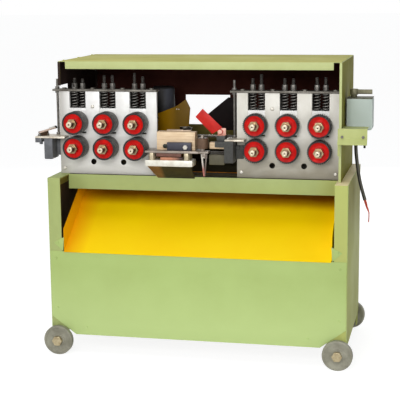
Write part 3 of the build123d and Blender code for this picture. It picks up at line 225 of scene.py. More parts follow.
worn_surface, wear_in, wear_out = effect(
    "worn_surface",
    {"Colour": "Color", "Tint": "Color", "Patch Scale": "Float", "Amount": "Float", "Grain Scale": "Float"},
    {"Colour": "Color", "Wear": "Float", "Grain": "Float"},
)
wear_place = worn_surface.nodes.new("ShaderNodeTexCoord")
wear_patch = worn_surface.nodes.new("ShaderNodeTexNoise")
wear_patch.inputs["Detail"].default_value = 7.0
wear_patch.inputs["Roughness"].default_value = 0.62
wear_edge = worn_surface.nodes.new("ShaderNodeMapRange")
wear_edge.inputs["From Min"].default_value = 0.38
wear_edge.inputs["From Max"].default_value = 0.72
wear_share = worn_surface.nodes.new("ShaderNodeMath")
wear_share.operation = "MULTIPLY"
wear_grain = worn_surface.nodes.new("ShaderNodeTexNoise")
wear_grain.inputs["Detail"].default_value = 3.0
wear_mix = worn_surface.nodes.new("ShaderNodeMixRGB")
linked(worn_surface, (
    (wear_place.outputs["Object"], wear_patch.inputs["Vector"]),
    (wear_in.outputs["Patch Scale"], wear_patch.inputs["Scale"]),
    (wear_patch.outputs["Fac"], wear_edge.inputs["Value"]),
    (wear_edge.outputs["Result"], wear_share.inputs[0]),
    (wear_in.outputs["Amount"], wear_share.inputs[1]),
    (wear_share.outputs[0], wear_mix.inputs["Fac"]),
    (wear_in.outputs["Colour"], wear_mix.inputs["Color1"]),
    (wear_in.outputs["Tint"], wear_mix.inputs["Color2"]),
    (wear_mix.outputs["Color"], wear_out.inputs["Colour"]),
    (wear_edge.outputs["Result"], wear_out.inputs["Wear"]),
    (wear_place.outputs["Object"], wear_grain.inputs["Vector"]),
    (wear_in.outputs["Grain Scale"], wear_grain.inputs["Scale"]),
    (wear_grain.outputs["Fac"], wear_out.inputs["Grain"]),
))
grain_height = 0.002
metal_shine = 0.5
paint_shine = 0.25


def finish(name, colour, tint, patch=6.0, amount=0.5, rough=(0.4, 0.6), metal=0.0, grain=400.0, relief=0.05,
           shine=None):
    """A worn finish: colour and tint in patches, roughness that follows them, and a fine grain."""
    made = bpy.data.materials.new(name)
    made.use_nodes = True
    tree = made.node_tree
    shader = tree.nodes["Principled BSDF"]
    wear = tree.nodes.new("ShaderNodeGroup")
    wear.name = "wear"
    wear.node_tree = worn_surface
    wear.inputs["Colour"].default_value = paint(*colour)
    wear.inputs["Tint"].default_value = paint(*tint)
    wear.inputs["Patch Scale"].default_value = patch
    wear.inputs["Amount"].default_value = amount
    wear.inputs["Grain Scale"].default_value = grain
    gloss = tree.nodes.new("ShaderNodeMapRange")
    gloss.inputs["To Min"].default_value = rough[0]
    gloss.inputs["To Max"].default_value = rough[1]
    bump = tree.nodes.new("ShaderNodeBump")
    bump.name = "bump"
    bump.inputs["Strength"].default_value = relief
    bump.inputs["Distance"].default_value = grain_height
    shader.inputs["Metallic"].default_value = metal
    if shine is None:
        shine = metal_shine if metal > 0 else paint_shine
    shader.inputs["Specular IOR Level"].default_value = shine
    tree.links.new(wear.outputs["Colour"], shader.inputs["Base Color"])
    tree.links.new(wear.outputs["Wear"], gloss.inputs["Value"])
    tree.links.new(gloss.outputs["Result"], shader.inputs["Roughness"])
    tree.links.new(wear.outputs["Grain"], bump.inputs["Height"])
    tree.links.new(bump.outputs["Normal"], shader.inputs["Normal"])
    return made


# Stain and shade band: a colour laid over a finish along a direction, for real stains and for painted light
# and shade.
stain_shade_group, stain_shade_in, stain_shade_out = effect(
    "level_stain_and_shade",
    {
        "Colour": "Color", "Stain": "Color", "Clear": "Float", "Deep": "Float", "Share": "Float",
        "Spread": "Float", "Direction": "Vector",
    },
    {"Colour": "Color"},
)
stain_shade_place = stain_shade_group.nodes.new("ShaderNodeTexCoord")
stain_shade_along = stain_shade_group.nodes.new("ShaderNodeVectorMath")
stain_shade_along.operation = "DOT_PRODUCT"
stain_shade_noise = stain_shade_group.nodes.new("ShaderNodeTexNoise")
stain_shade_noise.inputs["Scale"].default_value = 9.0
stain_shade_noise.inputs["Detail"].default_value = 6.0
stain_shade_shift = stain_shade_group.nodes.new("ShaderNodeMath")
stain_shade_shift.operation = "SUBTRACT"
stain_shade_shift.inputs[1].default_value = 0.5
stain_shade_level = stain_shade_group.nodes.new("ShaderNodeMath")
stain_shade_level.operation = "MULTIPLY_ADD"
stain_shade_band = stain_shade_group.nodes.new("ShaderNodeMapRange")
stain_shade_mix = stain_shade_group.nodes.new("ShaderNodeMixRGB")
linked(stain_shade_group, (
    (stain_shade_place.outputs["Object"], stain_shade_along.inputs[0]),
    (stain_shade_in.outputs["Direction"], stain_shade_along.inputs[1]),
    (stain_shade_place.outputs["Object"], stain_shade_noise.inputs["Vector"]),
    (stain_shade_noise.outputs["Fac"], stain_shade_shift.inputs[0]),
    (stain_shade_shift.outputs[0], stain_shade_level.inputs[0]),
    (stain_shade_in.outputs["Spread"], stain_shade_level.inputs[1]),
    (stain_shade_along.outputs["Value"], stain_shade_level.inputs[2]),
    (stain_shade_level.outputs[0], stain_shade_band.inputs["Value"]),
    (stain_shade_in.outputs["Clear"], stain_shade_band.inputs["From Min"]),
    (stain_shade_in.outputs["Deep"], stain_shade_band.inputs["From Max"]),
    (stain_shade_in.outputs["Share"], stain_shade_band.inputs["To Max"]),
    (stain_shade_band.outputs["Result"], stain_shade_mix.inputs["Fac"]),
    (stain_shade_in.outputs["Colour"], stain_shade_mix.inputs["Color1"]),
    (stain_shade_in.outputs["Stain"], stain_shade_mix.inputs["Color2"]),
    (stain_shade_mix.outputs["Color"], stain_shade_out.inputs["Colour"]),
))


def layered(made, group, **values):
    """Lays a colour effect, given as a node group, over a finish."""
    tree = made.node_tree
    base = tree.nodes["Principled BSDF"].inputs["Base Color"]
    layer = tree.nodes.new("ShaderNodeGroup")
    layer.node_tree = group
    for socket, value in values.items():
        layer.inputs[socket].default_value = value
    tree.links.new(base.links[0].from_socket, layer.inputs["Colour"])
    tree.links.new(layer.outputs["Colour"], base)
    return made


def stain_and_shade(made, colour, clear, deep, share=1.0, spread=0.05, direction=(0.0, 0.0, 1.0)):
    """Lets a finish turn to another colour between two places along a direction, upward if none is given;
    used for real stains and for painted light and shade.
    """
    return layered(
        made, stain_shade_group, Stain=paint(*colour), Clear=clear, Deep=deep, Share=share, Spread=spread,
        Direction=direction,
    )


def body_of(node):
    """The body that a node belongs to."""
    return frame["nodes"][node]["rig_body"]


def settle(piece, node, replaced=True):
    """Links a finished piece, lets it ride with its node's body and, if asked, stand for the node."""
    if piece.name not in scene.collection.objects:
        scene.collection.objects.link(piece)
    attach(piece, body_of(node))
    if replaced:
        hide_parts(node)
    return piece


def shade(mesh, crease=30.0):
    """Smooth round faces, crisp edges."""
    mesh.polygons.foreach_set("use_smooth", [True] * len(mesh.polygons))
    mesh.set_sharp_from_angle(angle=math.radians(crease))


weld_reach = 1e-6
flat_angle = math.radians(0.4)
hard_angle = math.radians(35)


def dressed(node, finishes, pick=None, ease=0.0008):
    """A copy of a node's solid with its sharp edges eased and a finish on every face."""
    shell = bmesh.new()
    shell.from_mesh(frame["nodes"][node].data)
    bmesh.ops.remove_doubles(shell, verts=shell.verts, dist=weld_reach)
    bmesh.ops.dissolve_limit(shell, angle_limit=flat_angle, verts=shell.verts, edges=shell.edges)
    hard = [edge for edge in shell.edges if edge.is_manifold and edge.calc_face_angle() > hard_angle]
    if ease > 0:
        bmesh.ops.bevel(
            shell,
            geom=hard,
            offset=ease,
            offset_type="OFFSET",
            affect="EDGES",
            segments=2,
            profile=0.5,
            material=-1,
            clamp_overlap=True,
        )
    if pick:
        for face in shell.faces:
            face.material_index = pick(face, face.calc_center_median())
    made = bpy.data.meshes.new(node + "_finished")
    shell.to_mesh(made)
    shell.free()
    for each in finishes:
        made.materials.append(each)
    shade(made)
    return settle(bpy.data.objects.new(node + "_finished", made), node)


green_enamel = finish(
    "green_enamel", (168, 180, 114), (150, 157, 94), patch=5.0, amount=0.55, rough=(0.42, 0.6), grain=260.0
)
stain_and_shade(green_enamel, (180, 186, 106), clear=0.45, deep=0.55, spread=0.02, direction=(1.0, 0.0, 0.0))
rail_tan = finish(
    "rail_tan", (238, 222, 174), (214, 196, 146), patch=9.0, amount=0.7, rough=(0.5, 0.7), grain=260.0
)
deck_dark = finish(
    "deck_dark", (58, 52, 30), (36, 30, 18), patch=7.0, amount=0.7, rough=(0.55, 0.75), grain=260.0
)
# Side faces: an enamel that darkens towards the top, as painted shade.
side_enamel_shaded = finish(
    "side_enamel_shaded", (182, 186, 112), (166, 168, 96), patch=4.0, amount=0.6, rough=(0.5, 0.65), grain=180.0,
    relief=0.08, shine=0.12,
)
stain_and_shade(side_enamel_shaded, (144, 140, 76), clear=0.42, deep=0.66, spread=0.10)
# How squarely a face must look along an axis, and the distances that tell two neighbouring faces apart.
square_on = 0.9
mostly = 0.5
hair = 0.0005
fine_hair = 0.0003
finest_hair = 0.0002
frame_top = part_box("base_frame")[1].z - finest_hair
rail_inner = 0.54
rail_behind = -0.155


def frame_face(face, place):
    """Enamel, bare tan on the right side rail, a dark deck behind the front rail, and on the flanks a side
    enamel that darkens towards the top as painted shade.
    """
    if abs(place.x) < rail_inner:
        return 2 if place.y > rail_behind else 0
    if abs(face.normal.x) > square_on:
        return 3
    return int(place.x > 0 and place.z > frame_top and face.normal.z > square_on)


dressed("base_frame", [green_enamel, rail_tan, deck_dark, side_enamel_shaded], pick=frame_face, ease=0.0012)

# Front panel: a bent steel sheet with two corners cut away over the wheels, held by painted-over
# screws, with two small ears that close the chute's corners.
panel_enamel = finish(
    "panel_enamel", (172, 193, 117), (163, 180, 106), patch=3.0, amount=0.7, rough=(0.4, 0.55), grain=180.0,
    relief=0.08,
)
# The panel grows lighter towards the bottom: painted light, as from the floor.
stain_and_shade(panel_enamel, (192, 212, 139), clear=0.36, deep=0.13, spread=0.08)
dressed("front_panel", [panel_enamel], ease=0.0006)

# Cabinet sheets: plain side and rear panels that close the frame, in enamel outside, dark inside as
# painted shade, and on the flanks a side enamel that darkens towards the top as painted shade.
# Dark paint inside the cabinet as painted shade.
cabinet_inside_shade = finish(
    "cabinet_inside_shade", (84, 68, 46), (52, 38, 26), patch=5.0, amount=0.7, rough=(0.6, 0.85), grain=300.0
)
cabinet_low, cabinet_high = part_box("cabinet_panels")
cabinet_middle = (cabinet_low + cabinet_high) / 2
inward_reach = 0.1


def cabinet_face(face, place):
    """Dark painted shade on the faces that look inward, a side enamel with painted shade on the flanks,
    enamel on the others.
    """
    if (cabinet_middle - place).dot(face.normal) > inward_reach:
        return 1
    return 2 if abs(face.normal.x) > square_on else 0


dressed("cabinet_panels", [panel_enamel, cabinet_inside_shade, side_enamel_shaded], pick=cabinet_face, ease=0.0006)

# Chute: a folded tray in strong yellow enamel, polished by the sticks that slide over it, turning brown
# towards its upper end under the front rail and darker on its left flank, both as painted shade.
chute_yellow = finish(
    "chute_yellow", (255, 215, 0), (252, 202, 0), patch=4.0, amount=0.5, rough=(0.42, 0.55), grain=120.0,
    shine=0.12,
)
# Painted shade: brown at the upper end under the front rail, and darker on the left flank.
stain_and_shade(chute_yellow, (178, 106, 0), clear=0.576, deep=0.617, share=0.95, spread=0.02)
stain_and_shade(
    chute_yellow, (232, 158, 0), clear=-0.45, deep=-0.53, share=0.9, spread=0.01, direction=(1.0, 0.0, 0.0)
)
dressed("chute_tray", [chute_yellow], ease=0.0007)

# Wheels: plain turned discs of grey iron, worn bright round the bolt, each on one large bolt
# with a spacer behind and a nut inside the post.
wheel_grey = finish(
    "wheel_grey", (148, 146, 130), (110, 106, 92), patch=22.0, amount=0.75, rough=(0.5, 0.75), metal=0.25,
    grain=320.0, relief=0.15,
)
bolt_zinc = finish(
    "bolt_zinc", (186, 172, 138), (128, 108, 74), patch=60.0, amount=0.7, rough=(0.28, 0.5), metal=0.75,
    grain=700.0,
)
for wheel in ("wheel_front_left", "wheel_front_right", "wheel_rear_left", "wheel_rear_right"):
    dressed(wheel, [wheel_grey], ease=0.0008)
dressed("axle_bolts", [bolt_zinc], ease=0.0012)

# Hood: folded sheets, green outside; inside, dark paint stands for painted shade, with a painted lit band in
# olive on the rear sheet below the window, and the side faces take a darker enamel as painted shade. Bars in
# the rear corners, in the same dark painted shade, join the sheets; there is a window in the back and a lid
# screwed to the side flanges.
hood_enamel = finish(
    "hood_enamel", (190, 198, 138), (168, 171, 107), patch=5.0, amount=0.6, rough=(0.44, 0.62), grain=240.0
)
# Dark paint inside the hood as painted shade.
hood_inside_shade = finish(
    "hood_inside_shade", (46, 30, 24), (28, 17, 13), patch=6.0, amount=0.7, rough=(0.6, 0.85), grain=300.0
)
# The rear sheet's inside: dark as painted shade, with a painted lit band in olive below the window.
hood_rear_light_and_shade = finish(
    "hood_rear_light_and_shade", (70, 32, 24), (44, 20, 16), patch=6.0, amount=0.7, rough=(0.6, 0.85), grain=300.0, shine=0.1
)
stain_and_shade(hood_rear_light_and_shade, (112, 102, 50), clear=0.93, deep=0.885, spread=0.02)
stain_and_shade(hood_rear_light_and_shade, (30, 25, 14), clear=0.85, deep=0.80, spread=0.03)
hood_low, hood_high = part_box("hood_panels")
hood_middle = (hood_low + hood_high) / 2
inside_shade_reach = 0.03
flange_reach = 0.06
front_edge = 0.004
seam_front, seam_back = hood_high.y - 0.003, hood_high.y - 0.001


def hood_side(face, place):
    """Dark painted shade inside the hood, on its left flange and in its rear seams, with its own painted
    light and shade on the rear sheet's inside; enamel outside, darker on the sides as painted shade.
    """
    if place.x < hood_low.x + flange_reach and face.normal.y < -mostly:
        return 1
    if seam_front < place.y < seam_back and face.normal.y > -mostly:
        return 1
    inward = (hood_middle - place).dot(face.normal) > inside_shade_reach
    if inward and place.y > hood_low.y + front_edge:
        return 2 if place.y > seam_front else 1
    return 3 if abs(face.normal.x) > square_on else 0


# Side faces: a darker enamel as painted shade.
hood_side_shaded = finish(
    "hood_side_shaded", (131, 128, 46), (103, 98, 34), patch=4.0, amount=0.6, rough=(0.55, 0.72), grain=240.0,
    shine=0.08,
)
# Lid top: a lighter enamel as painted light.
lid_top_lit = finish(
    "lid_top_lit", (202, 198, 120), (177, 171, 96), patch=4.0, amount=0.6, rough=(0.6, 0.75), grain=240.0,
    shine=0.08,
)
dressed("hood_panels", [hood_enamel, hood_inside_shade, hood_rear_light_and_shade, hood_side_shaded], pick=hood_side, ease=0.0006)


def brick(name, size, place, turn, finishes, pick=None, ease=0.0008, lean=0.0):
    """A small block with eased edges, leaned up along its length and turned about the upright."""
    shell = bmesh.new()
    bmesh.ops.create_cube(
        shell,
        size=1.0,
        matrix=Matrix.Translation(place)
        @ Matrix.Rotation(math.radians(turn), 4, "Z")
        @ Matrix.Rotation(math.radians(-lean), 4, "Y")
        @ Matrix.Diagonal((*size, 1.0)),
    )
    bmesh.ops.bevel(
        shell, geom=shell.edges[:], offset=ease, offset_type="OFFSET", affect="EDGES", segments=2,
        profile=0.5, material=-1, clamp_overlap=True,
    )
    if pick:
        for face in shell.faces:
            face.material_index = pick(face)
    made = bpy.data.meshes.new(name)
    shell.to_mesh(made)
    shell.free()
    for each in finishes:
        made.materials.append(each)
    shade(made)
    return bpy.data.objects.new(name, made)


hood_sheet = 0.002
corner_bar = 0.008
corner_high = 1.150
corner_in = hood_sheet + corner_bar / 2
corner_size = (corner_bar, corner_bar, corner_high - hood_low.z - hood_sheet)
corner_middle = (corner_high + hood_low.z + hood_sheet) / 2
for corner_name, corner_x in (("left", hood_low.x + corner_in), ("right", hood_high.x - corner_in)):
    corner_place = (corner_x, hood_high.y - corner_in, corner_middle)
    corner = brick(f"hood_corner_{corner_name}", corner_size, corner_place, 0.0, [hood_inside_shade])
    settle(corner, "hood_panels", replaced=False)


def lid_face(face, place):
    """Dark painted shade below, a lighter enamel on top as painted light, the hood's enamel on the lips."""
    if face.normal.z < -mostly:
        return 1
    return 2 if face.normal.z > mostly else 0


dressed("hood_lid", [hood_enamel, hood_inside_shade, lid_top_lit], pick=lid_face, ease=0.0006)

# Module plates: thick ground plates with three open slots, stained by oil and dust round the
# rollers, with bright bolt heads.
plate_steel = finish(
    "plate_steel", (242, 241, 238), (208, 203, 194), patch=9.0, amount=0.55, rough=(0.45, 0.62), metal=0.1,
    grain=500.0, relief=0.08,
)
stain_and_shade(plate_steel, (176, 172, 160), clear=0.90, deep=0.74, share=0.6, spread=0.12)
# Painted shade along the left edge of the left plate.
stain_and_shade(
    plate_steel, (172, 168, 160), clear=-0.538, deep=-0.575, share=0.8, spread=0.03, direction=(1.0, 0.0, 0.0)
)
plate_dusty = finish(
    "plate_dusty", (226, 223, 214), (190, 182, 166), patch=7.0, amount=0.6, rough=(0.48, 0.68), metal=0.1,
    grain=500.0, relief=0.1,
)
stain_and_shade(plate_dusty, (126, 118, 96), clear=0.92, deep=0.73, share=0.85, spread=0.14)
# Black: painted shade in holes and gaps, and the colour of parts that are black.
black_and_shade = finish("black_and_shade", (16, 14, 12), (8, 7, 6), rough=(0.7, 0.9), shine=0.05)
# Oily steel, darkened further as painted shade.
plate_oily_shaded = finish("plate_oily_shaded", (58, 54, 48), (30, 27, 24), patch=14.0, rough=(0.5, 0.7), metal=0.2)
bright_bolt = finish(
    "bright_bolt", (214, 210, 200), (150, 140, 124), patch=80.0, amount=0.6, rough=(0.25, 0.45), metal=0.8
)
bolt_head_deep = 0.0048
bolt_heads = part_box("module_plates")[0].y + bolt_head_deep
access_reach = 0.0114
plates_behind = -0.134
access_holes = []
for gear in ("infeed_idler_gear_1", "infeed_idler_gear_2", "outfeed_idler_gear_1", "outfeed_idler_gear_2"):
    gear_low, gear_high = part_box(gear)
    access_holes.append((gear_low + gear_high) / 2)


def plate_face(face, place):
    """Bright bolt heads, access holes black as painted shade, clean or dusty front plates, and steel behind
    them that is oily and darkened as painted shade.
    """
    if place.y < bolt_heads:
        return 1
    if place.y > plates_behind:
        return 4
    if any(math.hypot(place.x - hole.x, place.z - hole.z) < access_reach for hole in access_holes):
        return 3
    return 0 if place.x < 0 else 2


dressed(
    "module_plates",
    [plate_steel, bright_bolt, plate_dusty, black_and_shade, plate_oily_shaded],
    pick=plate_face,
    ease=0.0009,
)

# Top bars: flat mild steel, scaled and oily, bolted down on the plates' fingers. The springs push up
# against them, and the rods of the blocks pass through them.
bar_steel = finish(
    "bar_steel", (120, 116, 108), (66, 58, 50), patch=26.0, amount=0.75, rough=(0.42, 0.7), metal=0.55,
    grain=260.0, relief=0.2,
)
dressed("top_bars", [bar_steel], ease=0.0009)

# Sliding blocks: ground bearing blocks in the slots, with bronze bushes, threaded rods, washers
# and double nuts blackened by oil.
rod_black = finish(
    "rod_black", (116, 112, 106), (56, 52, 48), patch=60.0, amount=0.75, rough=(0.35, 0.55), metal=0.4,
    grain=500.0,
)
bush_bronze = finish(
    "bush_bronze", (150, 116, 70), (92, 70, 44), patch=50.0, amount=0.6, rough=(0.32, 0.5), metal=0.85
)
thread_pitch = 0.00175
thread_rise = 0.0004
thread_root = 0.0001
thread_half_share = 0.42
thread_steps = 14
modules = ("infeed", "outfeed")
columns = (1, 2, 3)


def thread(name, x, y, low, high, radius):
    """A fine helical ridge along an upright rod."""
    turns = (high - low) / thread_pitch
    ridge = bmesh.new()
    half = thread_pitch * thread_half_share
    corners = ((radius - thread_root, -half), (radius + thread_rise, 0.0), (radius - thread_root, half))
    verts = [ridge.verts.new((x + out, y, low + half + up)) for out, up in corners]
    edges = [ridge.edges.new((verts[k], verts[(k + 1) % 3])) for k in range(3)]
    steps = int(turns * thread_steps)
    bmesh.ops.spin(
        ridge,
        geom=verts + edges,
        cent=(x, y, 0.0),
        axis=(0.0, 0.0, 1.0),
        dvec=(0.0, 0.0, (high - low - 2 * half) / steps),
        angle=2 * math.pi * turns,
        steps=steps,
    )
    bmesh.ops.holes_fill(ridge, edges=[edge for edge in ridge.edges if edge.is_boundary], sides=0)
    bmesh.ops.recalc_face_normals(ridge, faces=ridge.faces)
    made = bpy.data.meshes.new(name)
    ridge.to_mesh(made)
    ridge.free()
    made.materials.append(rod_black)
    return bpy.data.objects.new(name, made)


rod_apart = 0.034
rod_radius = 0.006
rod_row = -0.130
rod_chamfer = 0.002
nut_top = 1.0925
bar_level = 1.0612
block_top = 0.993
shaft_z = 0.937
bush_reach = 0.0285
for module in modules:
    for column in columns:
        block = f"{module}_block_{column}"
        block_low, block_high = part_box(block)
        block_x = (block_low.x + block_high.x) / 2

        def block_face(face, place):
            """Bare steel block, bronze bushes round its bore, rods above it black as painted shade in the
            springs' gaps, dark ones over the bar.
            """
            if place.z > block_top + hair:
                return 1 if place.z > bar_level else 3
            out = max(math.hypot(v.co.x - block_x, v.co.z - shaft_z) for v in face.verts)
            return 2 if out < bush_reach else 0

        dressed(block, [plate_steel, rod_black, bush_bronze, black_and_shade], pick=block_face, ease=0.0007)
        for side, rod_name in ((-1, "left"), (1, "right")):
            rod_x = block_x + side * rod_apart / 2
            rod_verts = [
                v.co.z for v in frame["nodes"][block].data.vertices
                if abs(v.co.x - rod_x) < rod_radius + hair and v.co.z > nut_top
            ]
            thread_name = f"{block}_thread_{rod_name}"
            thread_top = max(rod_verts) - rod_chamfer
            ridge = thread(thread_name, rod_x, rod_row, nut_top, thread_top, rod_radius)
            settle(ridge, block, replaced=False)

# Springs: coiled from thick wire with closed ends, oily black with a painted highlight on the faces that look
# up and to the front, one pair squeezed between each block and its bar.
spring_black = finish(
    "spring_black", (18, 16, 15), (8, 7, 7), patch=30.0, amount=0.7, rough=(0.35, 0.5), metal=0.2,
    grain=300.0, shine=0.2,
)
# Facing light: a colour laid on the faces that look one way, for painted highlights and painted shade.
facing_light_group, facing_light_in, facing_light_out = effect(
    "facing_light_shade",
    {"Colour": "Color", "Rubbed": "Color", "Start": "Float", "Full": "Float", "Direction": "Vector"},
    {"Colour": "Color"},
)
facing_light_coord = facing_light_group.nodes.new("ShaderNodeTexCoord")
facing_light_along = facing_light_group.nodes.new("ShaderNodeVectorMath")
facing_light_along.operation = "DOT_PRODUCT"
facing_light_band = facing_light_group.nodes.new("ShaderNodeMapRange")
facing_light_mix = facing_light_group.nodes.new("ShaderNodeMixRGB")
linked(facing_light_group, (
    (facing_light_coord.outputs["Normal"], facing_light_along.inputs[0]),
    (facing_light_in.outputs["Direction"], facing_light_along.inputs[1]),
    (facing_light_along.outputs["Value"], facing_light_band.inputs["Value"]),
    (facing_light_in.outputs["Start"], facing_light_band.inputs["From Min"]),
    (facing_light_in.outputs["Full"], facing_light_band.inputs["From Max"]),
    (facing_light_band.outputs["Result"], facing_light_mix.inputs["Fac"]),
    (facing_light_in.outputs["Colour"], facing_light_mix.inputs["Color1"]),
    (facing_light_in.outputs["Rubbed"], facing_light_mix.inputs["Color2"]),
    (facing_light_mix.outputs["Color"], facing_light_out.inputs["Colour"]),
))


def paint_facing_light(made, colour, direction, start, full):
    """Lets a finish turn to another colour on the faces that look in a direction: painted light or shade."""
    return layered(made, facing_light_group, Rubbed=paint(*colour), Direction=direction, Start=start, Full=full)


# A pale painted highlight on the wire's faces that look up and to the front.
paint_facing_light(spring_black, (204, 200, 192), direction=(0.1, -0.6, 0.79), start=0.66, full=0.96)
wire = 0.0045
wire_segments = 10
coil_radius = 0.01325
coil_segments = 22
round_crease = 50.0
closed_turns = 1.0
closed_pitch = wire * 1.04
open_turns = 4.5
spring_low = 0.9933
spring_high = 1.0607


def coil(shell, x, y):
    """One spring: a closed turn, the open turns, and a closed turn."""
    rise = spring_high - spring_low - wire
    open_pitch = (rise - 2 * closed_turns * closed_pitch) / open_turns
    start = Matrix.Translation((x + coil_radius, y, spring_low + wire / 2))
    ring = bmesh.ops.create_circle(
        shell,
        cap_ends=False,
        segments=wire_segments,
        radius=wire / 2,
        matrix=start @ Matrix.Rotation(math.pi / 2, 4, "X"),
    )["verts"]
    ring_edges = {edge for vert in ring for edge in vert.link_edges}
    moving = list(ring) + list(ring_edges)
    closed = (closed_turns, closed_pitch)
    for turns, pitch in (closed, (open_turns, open_pitch), closed):
        steps = int(turns * coil_segments)
        moving = bmesh.ops.spin(
            shell,
            geom=moving,
            cent=(x, y, 0.0),
            axis=(0.0, 0.0, 1.0),
            dvec=(0.0, 0.0, pitch * turns / steps),
            angle=2 * math.pi * turns,
            steps=steps,
        )["geom_last"]


for module in modules:
    for column in columns:
        node = f"{module}_springs_{column}"
        low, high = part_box(node)
        middle = (low.x + high.x) / 2
        shell = bmesh.new()
        for side in (-1, 1):
            coil(shell, middle + side * rod_apart / 2, rod_row)
        bmesh.ops.holes_fill(shell, edges=[edge for edge in shell.edges if edge.is_boundary], sides=0)
        bmesh.ops.recalc_face_normals(shell, faces=shell.faces)
        made = bpy.data.meshes.new(node + "_wound")
        shell.to_mesh(made)
        shell.free()
        made.materials.append(spring_black)
        shade(made, round_crease)
        springs = settle(bpy.data.objects.new(node + "_wound", made), node)
        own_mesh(springs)

# Feed rollers: red faces set back inside dark gripping rims, finely fluted at the infeed and coarsely
# toothed at the outfeed, each drawn up by a browned nut on a zinc shaft end, with a gear at the back. The
# rims' crests are light, partly from wear and partly as painted highlight, and the nuts and shaft ends carry
# painted shade on the faces that look right and down.
roller_red = finish(
    "roller_red", (212, 20, 12), (142, 8, 8), patch=45.0, amount=0.75, rough=(0.3, 0.5), grain=200.0,
    shine=0.12,
)
rim_dark = finish(
    "rim_dark", (34, 32, 32), (14, 12, 12), patch=60.0, amount=0.8, rough=(0.4, 0.65), metal=0.4,
    grain=900.0, relief=0.3,
)
# Rim crests: light from wear and as painted highlight.
rim_crest_worn_lit = finish(
    "rim_crest_worn_lit", (132, 128, 122), (62, 58, 56), patch=90.0, amount=0.8, rough=(0.35, 0.55), metal=0.4,
    grain=900.0,
)
nut_zinc = finish(
    "nut_zinc", (226, 212, 186), (130, 108, 80), patch=90.0, amount=0.7, rough=(0.25, 0.45), metal=0.6,
    grain=600.0,
)
# Painted shade on the faces that look right and down.
paint_facing_light(nut_zinc, (66, 50, 34), direction=(0.86, 0.1, -0.5), start=0.15, full=0.6)
nut_brown = finish(
    "nut_brown", (184, 162, 124), (108, 86, 58), patch=110.0, amount=0.8, rough=(0.25, 0.45), metal=0.5,
    grain=600.0,
)
# Painted shade on the faces that look right and down.
paint_facing_light(nut_brown, (52, 38, 24), direction=(0.86, 0.1, -0.5), start=0.1, full=0.55)
gear_oiled = finish(
    "gear_oiled", (96, 92, 86), (44, 38, 32), patch=40.0, amount=0.75, rough=(0.25, 0.5), metal=0.8
)
face_radius = {"infeed": 0.0385, "outfeed": 0.0395}
roller_radius = {"infeed": 0.046, "outfeed": 0.047}
crest_reach = 0.0006
nut_reach = 0.0193
roller_front = {"infeed": -0.219, "outfeed": -0.204}
roller_back = -0.156
recess_deep = 0.007
recess_slack = 0.001
roller_finishes = [roller_red, rim_dark, nut_zinc, gear_oiled, rim_crest_worn_lit, nut_brown]
for module in modules:
    for level in ("upper", "lower"):
        for column in columns:
            node = f"{module}_{level}_roller_{column}"
            low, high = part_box(node)
            axis_x, axis_z = (low.x + high.x) / 2, (low.z + high.z) / 2
            front = roller_front[module]

            def roller_face(face, place):
                """Zinc shaft end, brown nut, red face, dark rim with crests light from wear and painted
                highlight, oiled gear behind.
                """
                if place.y < front - finest_hair:
                    return 5 if place.y > front - nut_reach else 2
                if place.y > roller_back + hair:
                    return 3
                reaches = [math.hypot(v.co.x - axis_x, v.co.z - axis_z) for v in face.verts]
                recessed = place.y < front + recess_deep + recess_slack
                if recessed and max(reaches) < face_radius[module] + fine_hair:
                    return 0
                return 4 if min(reaches) > roller_radius[module] - crest_reach else 1

            dressed(node, roller_finishes, roller_face, ease=0.0005)
    for number in (1, 2):
        dressed(f"{module}_idler_gear_{number}", [gear_oiled], ease=0.0004)
dressed("lower_bushes", [bush_bronze], ease=0.0005)

# Drive: a dark grey worm gearbox and upright motor on the deck, with a blue-grey painted highlight on
# the faces that look front and right, and an oiled chain that links the modules.
motor_paint = finish(
    "motor_paint", (48, 46, 46), (30, 28, 28), patch=14.0, amount=0.6, rough=(0.45, 0.65), grain=300.0
)
# A blue-grey painted highlight on the faces that look to the front and right.
paint_facing_light(motor_paint, (72, 74, 82), direction=(0.72, -0.69, 0.0), start=0.82, full=0.97)
dressed("gear_motor", [motor_paint], ease=0.0015)
dressed("drive_chain", [gear_oiled], ease=0.0006)

# Guides: steel plates that lead the strips into the nips, hung on rods from the top bars; the infeed
# plate lies on a cast block at the left side, under a slanted strap that holds the strips down.
guide_steel = finish(
    "guide_steel", (214, 206, 190), (150, 132, 108), patch=24.0, amount=0.7, rough=(0.34, 0.55), metal=0.5
)
guide_cast = finish(
    "guide_cast", (96, 98, 102), (58, 56, 56), patch=30.0, amount=0.6, rough=(0.5, 0.7), metal=0.3,
    grain=260.0, relief=0.4,
)
guide_reach = 0.0075
guide_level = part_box("guide_plates")[0].z + guide_reach
dressed(
    "guide_plates",
    [guide_steel, rod_black],
    pick=lambda face, place: int(place.z > guide_level),
    ease=0.0008,
)
dressed(
    "infeed_guide",
    [guide_cast, rod_black],
    pick=lambda face, place: int(place.z > guide_level),
    ease=0.001,
)
strap_pink = finish("strap_pink", (208, 184, 168), (152, 118, 98), patch=60.0, rough=(0.4, 0.6), metal=0.2)
packing_dark = finish("packing_dark", (66, 46, 28), (38, 26, 16), patch=40.0, rough=(0.5, 0.7))
latch_pale = finish(
    "latch_pale", (216, 214, 206), (150, 146, 136), patch=60.0, rough=(0.35, 0.55), metal=0.2
)
strap_turn = 46.0
strap_lean = 11.0
